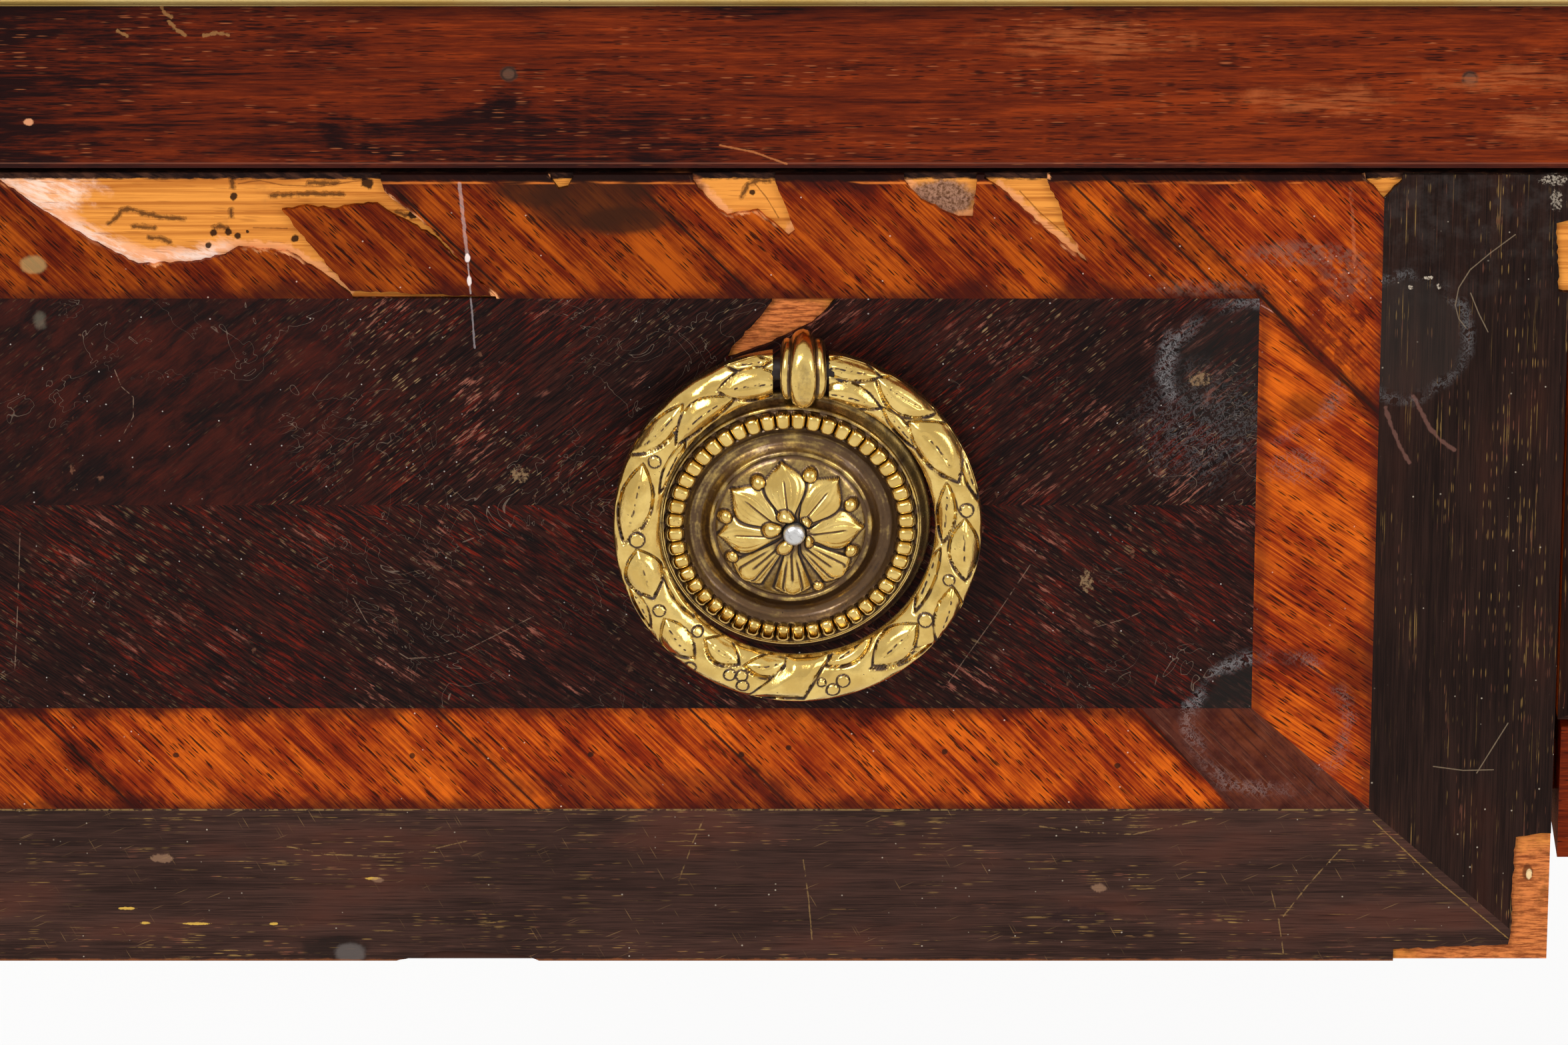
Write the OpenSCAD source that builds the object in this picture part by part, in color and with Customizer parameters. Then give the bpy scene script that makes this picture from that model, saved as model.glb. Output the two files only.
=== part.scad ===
// A flat-topped writing desk with a kneehole: a leather-lined top with a brass rim and a
// rosewood edge band, two deep side drawers, a shallower centre drawer that stands back, and
// four square tapered legs in brass shoes. The drawer fronts are veneered in dark wood with
// diagonal banding and carry brass ring pulls on round rosettes.
// The origin is on the floor in the middle of the desk. The front faces -Y.

/* [Overall] */
// Length of the top over its edge band
top_w = 1600; // [1500:10:1800]
// Depth of the top over its edge band
top_d = 800; // [740:10:900]
// Height of the writing surface above the floor
desk_h = 770; // [740:5:820]

/* [Top] */
// Height of the wooden edge band
band_h = 31; // [26:1:36]
// Thickness of the wooden edge band
band_t = 12; // [9:0.5:13]
// Height of the brass rim on the band
rim_h = 9; // [7:0.5:12]
// How far the brass rim stands proud of the band
rim_proud = 4; // [2:0.5:6]
// Width of the veneered border round the leather
border_w = 95; // [70:5:120]
// Thickness of the leather and of the border veneer
skin_t = 1.2; // [0.8:0.1:2]
// How far the top stands out past the case
top_over = 0.5; // [0.5:0.5:6]

/* [Legs] */
// Side of the square block at the head of a leg
leg_w = 58; // [54:1:66]
// Side of a leg under its collar
taper_w = 46; // [40:1:50]
// Side of a leg at the floor
foot_w = 27; // [22:1:32]
// How far the head blocks reach below the drawer fronts
block_drop = 12; // [4:1:24]
// Height of the brass collar
collar_h = 10; // [7:0.5:14]
// How far the collar stands out from the leg
collar_proud = 5; // [3:0.5:6]
// Height of the brass shoe
shoe_h = 72; // [50:1:90]
// Wall of the brass shoe
shoe_t = 1.6; // [1:0.1:2.5]
// Thickness of the sole under the leg
sole_t = 5; // [3:0.5:8]

/* [Case] */
// Width between the inner sides of the kneehole
kneehole_w = 540; // [480:5:600]
// How far the centre stands back from the side drawers
centre_recess = 12; // [6:1:20]
// How much higher the centre's underside is
centre_rise = 15; // [5:1:25]
// Thickness of the end panels and the back
panel_t = 24; // [20:1:28]
// Thickness of the inner sides
inner_t = 20; // [16:1:24]
// Thickness of the top rail and the kickers
rail_t = 20; // [16:1:24]
// Width of the rails from front to back
rail_w = 62; // [54:1:80]
// Thickness of the rails under the side drawers
bottom_rail_t = 18; // [14:1:22]
// How far those rails lie above the lower edge of the fronts
rail_lift = 4; // [2:0.5:8]
// Height of the rail over the kneehole
knee_rail_h = 26; // [20:1:32]
// Slit between that rail and the inner sides
knee_slit = 2.2; // [0.5:0.1:3]
// Thickness of a tenon
tenon_t = 10; // [8:0.5:12]
// Length of a tenon on a panel
tenon_l = 25; // [18:1:28]
// Length of a tenon on a rail
rail_tenon_l = 18; // [12:1:22]
// Depth of the grooves that hold the inner sides
dado = 8; // [5:0.5:10]
// Width of the strips that the drawers run on and under
runner_w = 16; // [14:1:24]
// Height of the strip that guides a drawer beside the legs
guide_h = 12; // [8:1:18]

/* [Drawers] */
// Height of a side drawer's front
front_h = 153; // [140:1:170]
// Thickness of a drawer front with its veneer
front_t = 22; // [20:0.5:26]
// Thickness of the face veneers
veneer_t = 1; // [0.6:0.1:1.5]
// Shadow gap round a drawer front
gap = 1.5; // [1:0.1:2.5]
// Running clearance of a drawer box
play = 0.5; // [0.3:0.1:0.9]
// Thickness of the drawer sides
side_t = 12; // [9:0.5:14]
// Thickness of the drawer backs
back_t = 10; // [8:0.5:12]
// Thickness of the drawer bottoms
bottom_t = 6; // [4:0.5:8]
// Length of a drawer box behind its front
drawer_d = 620; // [520:10:660]
// Depth of the dovetails in the front
lap = 14; // [10:0.5:16]
// Number of dovetails at each corner
tail_n = 4; // [3:1:5]
// Depth of the groove for the bottom
groove = 5; // [3:0.5:6]
// Height of the bottom's groove above the foot of the sides
groove_up = 7; // [5:0.5:10]

/* [Veneer] */
// Height of the banding along the top of a front
top_banding_h = 23.4; // [18:0.1:28]
// Height of the banding over the lower border
low_banding_h = 19.9; // [14:0.1:24]
// Width of the banding at the ends
end_banding_w = 21.4; // [16:0.1:26]
// Height of the lower border of a side drawer
low_border_h = 30.4; // [22:0.1:34]
// Height of the lower border of the centre drawer
centre_border_h = 14; // [8:0.5:18]
// Width of the borders at the ends
end_border_w = 32.8; // [24:0.1:38]

/* [Ring pulls] */
// Distance from the end of a front to its rosette
pull_in = 136.7; // [120:0.1:150]
// Distance of a side drawer's rosette below the top of its front
pull_drop = 64.2; // [60:0.1:76]
// Distance of the centre drawer's rosettes below the top of its front
centre_drop = 58; // [56:0.5:60]
// Radius of the rosette
plate_r = 24.8; // [24:0.2:26]
// Radius of the circle of beads
bead_circle_r = 20.5; // [19:0.25:21]
// Radius of a bead
bead_r = 1.12; // [0.9:0.02:1.2]
// Number of beads
bead_n = 48; // [36:1:50]
// Height of the ledge that carries the beads
ledge_h = 4.4; // [3:0.1:4.6]
// Height of a bead above the ledge
bead_h = 1.4; // [0.8:0.1:1.6]
// Radius of the domed boss
boss_r = 13.5; // [12.5:0.25:14.5]
// Height of the domed boss
boss_h = 9.2; // [8:0.1:9.6]
// Outer radius of the ring
ring_r = 32.5; // [31.5:0.25:33.5]
// Width of the ring's band
ring_w = 8.2; // [7.6:0.1:8.6]
// Thickness of the ring behind its middle
ring_back = 2.2; // [1.8:0.1:2.4]
// Thickness of the ring in front of its middle
ring_front = 2.6; // [2:0.1:3]
// How far the ring stands off the front at its foot, in degrees
ring_lean = 6; // [5:0.5:9]
// How far the ring has slipped round in the knuckle, in degrees
ring_slip = 2; // [0:0.5:3]
// Height of the ring's pivot over the edge of the rosette
pivot_rise = 5.2; // [5.1:0.1:6]
// Distance of the pivot from the drawer front
pivot_out = 6; // [5.8:0.1:6.4]
// Offset of the pivot to the right of the rosette
pivot_side = 2.4; // [0:0.2:2.6]
// Radius of the ring's pivot pin
pin_r = 2.6; // [2:0.1:2.8]
// Radius of the knuckle's middle rib
knuckle_r = 6.5; // [6:0.1:6.6]
// Width of the knuckle
knuckle_w = 8.2; // [7.4:0.1:9]
// Radius of the bolt through the rosette
bolt_r = 1.95; // [1.5:0.05:2.2]
// Radius of the knuckle's threaded tang
tang_r = 2.4; // [2:0.1:2.8]

/* [Lock] */
// Width of the lock case
lock_w = 56; // [48:1:64]
// Height of the lock case
lock_h = 46; // [42:1:52]
// Depth of the lock case
lock_d = 12; // [11:0.5:13]
// Thickness of the lock's plates
lock_t = 1.8; // [1.2:0.1:2]
// Width of the lock's bolt
lock_bolt_w = 22; // [16:1:28]
// Thickness of the lock's bolt
lock_bolt_t = 5; // [4:0.25:6]
// Travel of the lock's bolt
lock_throw = 6.5; // [5:0.25:7.5]
// Radius of the key's shank
key_r = 2.8; // [2.2:0.1:3.4]
// Outer radius of the key's bow
bow_r = 9; // [8:0.25:9.75]

/* [Hidden] */
$fn = 64;

// Clearance between glued joints, and round a pin that turns
joint_gap = 0.1;
pin_gap = 0.06;
// How far a cut runs past a face
past = 1;

// Half sizes and the levels that the pieces share
case_x = top_w / 2 - top_over;
knee_x = kneehole_w / 2;
top_t = band_h + rim_h;
z_case = desk_h - top_t;
z_front_top = z_case - gap;
z_front_low = z_front_top - front_h;
z_knee = z_front_low + centre_rise;
z_knee_top = z_knee + knee_rail_h;
z_centre_low = z_knee_top + gap;
z_box_top = z_case - rail_t - 2 * play;
z_runner = z_front_low + rail_lift + bottom_rail_t;
z_block = z_front_low - block_drop;
z_neck = z_block - collar_h;

// The ring's reach in front of the drawer face sets the front of the desk's outline
ring_mean = ring_r - ring_w / 2;
ring_reach = pivot_out + 2 * ring_mean * sin(ring_lean) + ring_front * cos(ring_lean);
y_face = (ring_reach + top_over - top_d - rim_proud) / 2;
y_band = y_face - top_over;
y_back = y_face + top_d - 2 * top_over;
y_centre = y_face + centre_recess;
y_behind = y_face + front_t + play;
y_top_rail = y_centre + front_t + play;
y_panel = y_back - panel_t;

// Drawer fronts and boxes: the side drawer is the left one, and the right one mirrors it
leg_x = case_x - leg_w;
side_front_x = [-leg_x + gap, -knee_x];
centre_front_x = [-knee_x + gap, knee_x - gap];
side_box_x = [-leg_x + gap, -knee_x - inner_t - play];
centre_box_x = centre_front_x;
side_box_z = z_runner + play;
centre_box_z = z_knee_top + play;
tail_slope = tan(9);

// Ring pulls
side_pull_x = [side_front_x[0] + pull_in, side_front_x[1] - pull_in];
centre_pull_x = centre_front_x[0] + pull_in;
side_pull_z = z_front_top - pull_drop;
centre_pull_z = z_front_top - centre_drop;
pivot_up = plate_r + pivot_rise;
plate_edge_h = 1.6;
stem_w = 8;
mouth_gap = 0.85;
berry_r = 1.3;
knob_r = 1.5;
nut_r = 4.6;
nut_t = 3.2;
bolt_proud = 0.7;

// Lock: the case is let into the back of the centre drawer's front
lock_y = y_centre + front_t - lock_d;
key_z = z_front_top - lock_h * 0.58;
key_reach = centre_recess + ring_reach;
bit_r = 9.5;
bit_t = 2.4;
bolt_window = [-10.6, 3.9];
bolt_sink = 0.6;
bolt_cheek = 3;
keyhole_r = 9;
keyhole_t = 1.4;

// Screws through the top rail and the kickers
screw_r = 2.2;
screw_head_r = 4.4;
screw_l = rail_t + 11;
screw_side_x = leg_x - 60;
screw_inner_x = knee_x + inner_t + runner_w / 2;
screw_front_y = y_top_rail + rail_w / 2;
screw_back_y = y_back - leg_w - 30;
screws = [
    [-screw_side_x, screw_front_y], [-knee_x / 2, screw_front_y], [knee_x / 2, screw_front_y],
    [screw_side_x, screw_front_y], [-screw_inner_x, screw_back_y], [screw_inner_x, screw_back_y]
];

// Small helpers

module box(low, high) {
    translate(low) cube(high - low);
}

// Draws in X and Z, and goes back along Y
module upright(y, t) {
    translate([0, y + t, 0]) rotate([90, 0, 0]) linear_extrude(t) children();
}

// Draws in Y and Z, and goes right along X
module sideways(x, t) {
    translate([x, 0, 0]) rotate([90, 0, 90]) linear_extrude(t) children();
}

module right_hand() {
    mirror([1, 0, 0]) children();
}

// A solid that is square at every height, from its half outline in X and Z
module square_turned(w) {
    intersection() {
        rotate([90, 0, 0]) linear_extrude(w, center = true) children();
        rotate([90, 0, 90]) linear_extrude(w, center = true) children();
    }
}

module half_outline(points) {
    polygon(concat(points, [for (i = [len(points) - 1:-1:0]) [-points[i][0], points[i][1]]]));
}

// Four mitred lengths round a rectangle of half sizes x and y, each as wide as w
module mitred(x, y, w) {
    for (s = [-1, 1]) {
        polygon([[-x, s * y], [x, s * y], [x - w, s * (y - w)], [-x + w, s * (y - w)]]);
    }
    for (s = [-1, 1]) {
        polygon([[s * x, -y], [s * x, y], [s * (x - w), y - w], [s * (x - w), -y + w]]);
    }
}

// Top

top_mid_y = y_band + top_d / 2;

module around_top(z, h, grow, w) {
    translate([0, top_mid_y, z]) linear_extrude(h) mitred(top_w / 2 + grow, top_d / 2 + grow, w);
}

module top_core() {
    x = top_w / 2 - band_t;
    y = top_d / 2 - band_t;
    color("burlywood") difference() {
        translate([0, top_mid_y, 0]) box([-x, -y, z_case], [x, y, desk_h - skin_t]);
        lock_bolt_pocket();
        for (s = screws) translate([s[0], s[1], z_case - past]) {
            cylinder(r = screw_r + joint_gap, h = screw_l - rail_t + past + joint_gap);
        }
    }
}

module lock_bolt_pocket() {
    x = lock_bolt_w / 2 + gap;
    y = lock_y + lock_d / 2;
    box([-x, y - lock_bolt_t / 2 - gap, z_case - past],
        [x, y + lock_bolt_t / 2 + gap, z_case + lock_throw + gap]);
}

module leather_panel() {
    x = top_w / 2 - band_t - border_w;
    y = top_d / 2 - band_t - border_w;
    color("darkolivegreen") translate([0, top_mid_y, 0]) {
        box([-x, -y, desk_h - skin_t], [x, y, desk_h]);
    }
}

module top_border_veneer() {
    color("saddlebrown") around_top(desk_h - skin_t, skin_t, -band_t, border_w);
}

module edge_band() {
    color([0.42, 0.16, 0.07]) around_top(z_case, band_h, 0, band_t);
}

// The rim is a bullnose: flat above and below, and round at its nose
module rim_profile() {
    nose = rim_h / 2;
    translate([-band_t, 0]) square([band_t + rim_proud - nose, rim_h]);
    translate([rim_proud - nose, nose]) circle(nose);
}

module rim_length(half, side) {
    for (s = [-1, 1]) {
        mirror([0, s < 0 ? 1 : 0, 0]) translate([0, side, 0]) {
            rotate([90, 0, 90]) linear_extrude(2 * half, center = true) rim_profile();
        }
    }
}

module brass_rim() {
    x = top_w / 2;
    y = top_d / 2;
    out = rim_proud;
    z = z_case + band_h;
    color("goldenrod") translate([0, top_mid_y, z]) {
        intersection() {
            rim_length(x + out, y);
            linear_extrude(rim_h) rim_mitres(x + out, y + out, band_t + out);
        }
        intersection() {
            rotate([0, 0, 90]) rim_length(y + out, x);
            linear_extrude(rim_h) rotate(90) rim_mitres(y + out, x + out, band_t + out);
        }
    }
}

module rim_mitres(x, y, w) {
    for (s = [-1, 1]) {
        polygon([[-x, s * y], [x, s * y], [x - w, s * (y - w)], [-x + w, s * (y - w)]]);
    }
}

// Legs

function leg_half(z) = foot_w / 2 + (taper_w - foot_w) / 2 * z / z_neck;

module leg_outline(grow = 0, low = sole_t) {
    half_outline([
        [leg_half(low) + grow, low], [taper_w / 2 + grow, z_neck], [taper_w / 2 + grow, z_block],
        [leg_w / 2 + grow, z_block], [leg_w / 2 + grow, z_case]
    ]);
}

module at_leg(back) {
    translate([-case_x + leg_w / 2, back ? y_back - leg_w / 2 : y_face + leg_w / 2, 0]) children();
}

module at_all_legs() {
    for (s = [0, 1], back = [false, true]) mirror([s, 0, 0]) at_leg(back) children();
}

module leg_blank(back) {
    at_leg(back) square_turned(leg_w + 2) leg_outline();
}

module leg_front_left() {
    color("saddlebrown") difference() {
        leg_blank(false);
        end_tenons(joint_gap);
        top_rail_tenons(joint_gap);
        bottom_rail_tenon(joint_gap);
    }
}

module leg_back_left() {
    color("saddlebrown") difference() {
        leg_blank(true);
        end_tenons(joint_gap);
        back_tenons(joint_gap);
    }
}

module leg_front_right() {
    right_hand() leg_front_left();
}

module leg_back_right() {
    right_hand() leg_back_left();
}

module leg_collars() {
    nose = collar_h / 2;
    reach = taper_w / 2 + collar_proud - nose;
    color("goldenrod") at_all_legs() translate([0, 0, z_neck + nose]) difference() {
        square_turned(leg_w * 2) {
            square([2 * reach, collar_h], center = true);
            for (s = [-1, 1]) translate([s * reach, 0]) circle(nose);
        }
        cube([taper_w + 2 * joint_gap, taper_w + 2 * joint_gap, collar_h + 2 * past], center = true);
    }
}

module brass_shoes() {
    lip = shoe_t * 1.5;
    toe = 2.5;
    color("goldenrod") at_all_legs() difference() {
        square_turned(leg_w * 2) half_outline([
            [leg_half(0) + shoe_t + toe, 0], [leg_half(0) + shoe_t + toe, sole_t + toe],
            [leg_half(0) + shoe_t, sole_t + 2 * toe],
            [leg_half(shoe_h) + shoe_t, shoe_h - 4 * lip],
            [leg_half(shoe_h) + shoe_t + lip, shoe_h - 3 * lip],
            [leg_half(shoe_h) + shoe_t + lip, shoe_h - lip],
            [leg_half(shoe_h) + shoe_t, shoe_h]
        ]);
        square_turned(leg_w * 2) leg_outline(joint_gap, sole_t);
    }
}

// Case

module end_tenons(grow = 0) {
    x = -case_x + (panel_t - tenon_t) / 2;
    for (y = [[y_face + leg_w - tenon_l, y_face + leg_w], [y_back - leg_w, y_back - leg_w + tenon_l]]) {
        box([x - grow, y[0] - grow, z_front_low + tenon_t - grow],
            [x + tenon_t + grow, y[1] + grow, z_case - tenon_t + grow]);
    }
}

module end_panel_left() {
    color("saddlebrown") {
        end_tenons();
        box([-case_x, y_face + leg_w, z_front_low], [-case_x + panel_t, y_back - leg_w, z_case]);
    }
}

module end_panel_right() {
    right_hand() end_panel_left();
}

module back_tenons(grow = 0) {
    y = y_back - (panel_t + tenon_t) / 2;
    for (s = [-1, 1]) {
        x = s * (leg_x + tenon_l / 2);
        translate([x, y + tenon_t / 2, (z_front_low + z_case) / 2]) {
            cube([tenon_l + 2 * grow, tenon_t + 2 * grow, z_case - z_front_low - 2 * tenon_t + 2 * grow],
                center = true);
        }
    }
}

module back_panel() {
    color("saddlebrown") {
        back_tenons();
        difference() {
            box([-leg_x, y_panel, z_front_low], [leg_x, y_back, z_case]);
            inner_side_blank(joint_gap);
            right_hand() inner_side_blank(joint_gap);
        }
    }
}

module top_rail_tenons(grow = 0) {
    y0 = y_top_rail + gap;
    y1 = y_face + leg_w - gap;
    for (s = [-1, 1]) {
        translate([s * (leg_x + rail_tenon_l / 2), (y0 + y1) / 2, z_case - rail_t / 2]) {
            cube([rail_tenon_l + 2 * grow, y1 - y0 + 2 * grow, rail_t / 2 + 2 * grow], center = true);
        }
    }
}

module front_top_rail() {
    color("peru") difference() {
        union() {
            top_rail_tenons();
            box([-leg_x, y_top_rail, z_case - rail_t], [leg_x, y_top_rail + rail_w, z_case]);
        }
        screw_holes();
    }
}

module bottom_rail_tenon(grow = 0) {
    y0 = y_behind + gap;
    y1 = y_face + leg_w - gap;
    z = z_runner - bottom_rail_t / 2;
    box([-leg_x - rail_tenon_l - grow, y0 - grow, z - tenon_t / 2 - grow],
        [-leg_x + grow, y1 + grow, z + tenon_t / 2 + grow]);
}

module bottom_rail_inner_tenon(grow = 0) {
    x = -knee_x - inner_t;
    z = z_runner - bottom_rail_t / 2;
    box([x - grow, y_behind + gap - grow, z - tenon_t / 2 - grow],
        [x + inner_t / 2 + grow, y_behind + rail_w - gap + grow, z + tenon_t / 2 + grow]);
}

module side_bottom_rail() {
    bottom_rail_tenon();
    bottom_rail_inner_tenon();
    box([-leg_x, y_behind, z_runner - bottom_rail_t],
        [-knee_x - inner_t, y_behind + rail_w, z_runner]);
}

module side_bottom_rails() {
    color("peru") {
        side_bottom_rail();
        right_hand() side_bottom_rail();
    }
}

knee_rail_tenon_l = inner_t / 2 - 2;

module knee_tenon(grow = 0) {
    z = (z_knee + z_knee_top) / 2;
    box([-knee_x - knee_rail_tenon_l - grow, y_behind + gap - grow, z - tenon_t / 2 - grow],
        [-knee_x + knee_slit + grow, y_centre + rail_w - gap + grow, z + tenon_t / 2 + grow]);
}

module kneehole_rail() {
    color([0.42, 0.16, 0.07]) {
        knee_tenon();
        right_hand() knee_tenon();
        box([-knee_x + knee_slit, y_centre, z_knee],
            [knee_x - knee_slit, y_centre + rail_w, z_knee_top]);
    }
}

module inner_side_blank(grow = 0) {
    box([-knee_x - inner_t - grow, y_behind, z_front_low + rail_lift / 2],
        [-knee_x + grow, y_panel + dado + grow, z_case]);
}

module inner_side_left() {
    color("peru") difference() {
        inner_side_blank();
        box([-knee_x - inner_t - past, y_top_rail - joint_gap, z_case - rail_t - joint_gap],
            [-knee_x + past, y_top_rail + rail_w + joint_gap, z_case + past]);
        bottom_rail_inner_tenon(joint_gap);
        knee_tenon(joint_gap);
    }
}

module inner_side_right() {
    right_hand() inner_side_left();
}

// An outer runner also guides the drawer beside the legs
module side_runners() {
    y = y_behind + rail_w;
    guide_x = -leg_x + gap - play;
    upright(y, y_back - leg_w - y) polygon([
        [-case_x + panel_t, z_runner - runner_w], [-leg_x + runner_w, z_runner - runner_w],
        [-leg_x + runner_w, z_runner], [guide_x, z_runner], [guide_x, z_runner + guide_h],
        [-case_x + panel_t, z_runner + guide_h]
    ]);
    box([-knee_x - inner_t - runner_w, y, z_runner - runner_w], [-knee_x - inner_t, y_panel, z_runner]);
}

module centre_runner() {
    box([-knee_x, y_centre + rail_w, z_knee_top - runner_w], [-knee_x + runner_w, y_panel, z_knee_top]);
}

module runners() {
    color("peru") for (s = [0, 1]) mirror([s, 0, 0]) {
        side_runners();
        centre_runner();
    }
}

module kickers() {
    y = y_top_rail + rail_w;
    z = z_case - rail_t;
    color("peru") difference() {
        for (s = [0, 1]) mirror([s, 0, 0]) {
            box([-case_x + panel_t, y, z], [-leg_x + runner_w, y_back - leg_w, z_case]);
            box([-knee_x - inner_t - runner_w, y, z], [-knee_x - inner_t, y_panel, z_case]);
            box([-knee_x, y, z], [-knee_x + runner_w, y_panel, z_case]);
        }
        screw_holes();
    }
}

module screw_solid(grow = 0) {
    h = screw_head_r - screw_r;
    translate([0, 0, z_case - rail_t]) {
        cylinder(r1 = screw_head_r + grow, r2 = screw_r + grow, h = h);
        cylinder(r = screw_r + grow, h = screw_l);
    }
}

module screw_holes() {
    for (s = screws) translate([s[0], s[1], 0]) screw_solid(joint_gap);
}

module top_screws() {
    color("dimgray") for (s = screws) translate([s[0], s[1], 0]) screw_solid();
}

// Drawers: each is [front's x range, front's low z, its face's y, box's x range, box's low z,
// x of its rosettes, z of its rosettes]. The right drawer is the left one mirrored, and so is the
// centre drawer's right pull.

side_drawer = [side_front_x, z_front_low, y_face, side_box_x, side_box_z, side_pull_x, side_pull_z];
centre_drawer = [
    centre_front_x, z_centre_low, y_centre, centre_box_x, centre_box_z, [centre_pull_x], centre_pull_z
];

// Dovetails in Y and Z: the narrow root is at y = 0, and the tails point to -Y
module tail_row(z, h, length, grow = 0) {
    pitch = h / tail_n;
    root = pitch * 0.28;
    flare = length * tail_slope;
    for (i = [0:tail_n - 1]) translate([0, z + (i + 0.5) * pitch]) polygon([
        [0, -root - grow], [0, root + grow], [-length - grow, root + flare + grow],
        [-length - grow, -root - flare - grow]
    ]);
}

module front_tails(d, x, w, grow = 0) {
    sideways(x, w) translate([d[2] + front_t, 0]) tail_row(d[4], z_box_top - d[4], lap, grow);
}

module back_tails(d, x, w, grow = 0) {
    y = d[2] + front_t + drawer_d - back_t;
    z = d[4] + groove_up + bottom_t;
    sideways(x, w) translate([y, 0]) mirror([1, 0]) tail_row(z, z_box_top - z, back_t - grow, grow);
}

module bottom_panel(d, grow = 0) {
    inset = side_t - groove;
    z = d[4] + groove_up;
    box([d[3][0] + inset - grow, d[2] + front_t - groove - grow, z - grow],
        [d[3][1] - inset + grow, d[2] + front_t + drawer_d + grow, z + bottom_t + grow]);
}

module pull_holes(d) {
    for (x = d[5]) {
        translate([x, d[2] - past, d[6]]) rotate([-90, 0, 0]) {
            cylinder(r = bolt_r + joint_gap, h = front_t + 2 * past);
        }
        translate([x + pivot_side, d[2] - past, d[6] + pivot_up]) rotate([-90, 0, 0]) {
            cylinder(r = tang_r + joint_gap, h = front_t + 2 * past);
        }
    }
}

module drawer_front(d) {
    difference() {
        box([d[0][0], d[2] + veneer_t, d[1]], [d[0][1], d[2] + front_t, z_front_top]);
        front_tails(d, d[3][0] - gap - joint_gap, side_t + gap + 2 * joint_gap, joint_gap);
        front_tails(d, d[3][1] - side_t - joint_gap, side_t + gap + 2 * joint_gap, joint_gap);
        bottom_panel(d, joint_gap);
        pull_holes(d);
    }
}

module drawer_side(d, x) {
    y = d[2] + front_t;
    difference() {
        union() {
            front_tails(d, x, side_t);
            box([x, y, d[4]], [x + side_t, y + drawer_d - back_t, z_box_top]);
            back_tails(d, x, side_t);
        }
        bottom_panel(d, joint_gap);
    }
}

module drawer_sides(d) {
    color("tan") {
        drawer_side(d, d[3][0]);
        drawer_side(d, d[3][1] - side_t);
    }
}

module drawer_back(d) {
    y = d[2] + front_t + drawer_d;
    color("tan") difference() {
        box([d[3][0], y - back_t + joint_gap, d[4] + groove_up + bottom_t + joint_gap],
            [d[3][1], y, z_box_top]);
        back_tails(d, d[3][0] - past, side_t + past + joint_gap, joint_gap);
        back_tails(d, d[3][1] - side_t - joint_gap, side_t + past + joint_gap, joint_gap);
    }
}

module drawer_bottom(d) {
    color("wheat") bottom_panel(d);
}

// Face veneers, drawn in X and Z

module banding(d, low) {
    x0 = d[0][0] + end_border_w;
    x1 = d[0][1] - end_border_w;
    z0 = d[1] + low;
    z1 = z0 + low_banding_h;
    z2 = z_front_top - top_banding_h;
    color("chocolate") difference() {
        upright(d[2], veneer_t) {
            translate([x0, z2]) square([x1 - x0, top_banding_h]);
            polygon([[x0, z0], [x1, z0], [x1 - end_banding_w, z1], [x0 + end_banding_w, z1]]);
            polygon([[x0, z0], [x0 + end_banding_w, z1], [x0 + end_banding_w, z2], [x0, z2]]);
            polygon([[x1, z0], [x1 - end_banding_w, z1], [x1 - end_banding_w, z2], [x1, z2]]);
        }
        pull_holes(d);
    }
}

// Borders at the ends and below, and the panel in two leaves that meet at half height
module veneer(d, low) {
    x = d[0];
    z = d[1];
    in0 = x[0] + end_border_w;
    in1 = x[1] - end_border_w;
    leaf_z = z + low + low_banding_h;
    leaf_h = (z_front_top - top_banding_h - leaf_z) / 2;
    color([0.2, 0.09, 0.06]) difference() {
        upright(d[2], veneer_t) {
            polygon([[x[0], z], [x[1], z], [in1, z + low], [in0, z + low]]);
            polygon([[x[0], z], [in0, z + low], [in0, z_front_top], [x[0], z_front_top]]);
            polygon([[x[1], z], [in1, z + low], [in1, z_front_top], [x[1], z_front_top]]);
            for (s = [0, 1]) translate([in0 + end_banding_w, leaf_z + s * leaf_h]) {
                square([in1 - in0 - 2 * end_banding_w, leaf_h]);
            }
        }
        pull_holes(d);
    }
}

module left_drawer_front() {
    color("tan") drawer_front(side_drawer);
}

module left_drawer_banding() {
    banding(side_drawer, low_border_h);
}

module left_drawer_veneer() {
    veneer(side_drawer, low_border_h);
}

module left_drawer_sides() {
    drawer_sides(side_drawer);
}

module left_drawer_back() {
    drawer_back(side_drawer);
}

module left_drawer_bottom() {
    drawer_bottom(side_drawer);
}

module right_drawer_front() {
    right_hand() left_drawer_front();
}

module right_drawer_banding() {
    right_hand() left_drawer_banding();
}

module right_drawer_veneer() {
    right_hand() left_drawer_veneer();
}

module right_drawer_sides() {
    right_hand() left_drawer_sides();
}

module right_drawer_back() {
    right_hand() left_drawer_back();
}

module right_drawer_bottom() {
    right_hand() left_drawer_bottom();
}

module centre_drawer_front() {
    color("tan") difference() {
        drawer_front(centre_drawer);
        right_hand() pull_holes(centre_drawer);
        lock_case_block(joint_gap);
        key_way(y_centre - past, front_t);
    }
}

module centre_drawer_banding() {
    color("chocolate") difference() {
        banding(centre_drawer, centre_border_h);
        right_hand() pull_holes(centre_drawer);
    }
}

module centre_drawer_veneer() {
    color([0.2, 0.09, 0.06]) difference() {
        veneer(centre_drawer, centre_border_h);
        right_hand() pull_holes(centre_drawer);
        key_way(y_centre - past, front_t);
    }
}

module centre_drawer_sides() {
    drawer_sides(centre_drawer);
}

module centre_drawer_back() {
    drawer_back(centre_drawer);
}

module centre_drawer_bottom() {
    drawer_bottom(centre_drawer);
}

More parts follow.
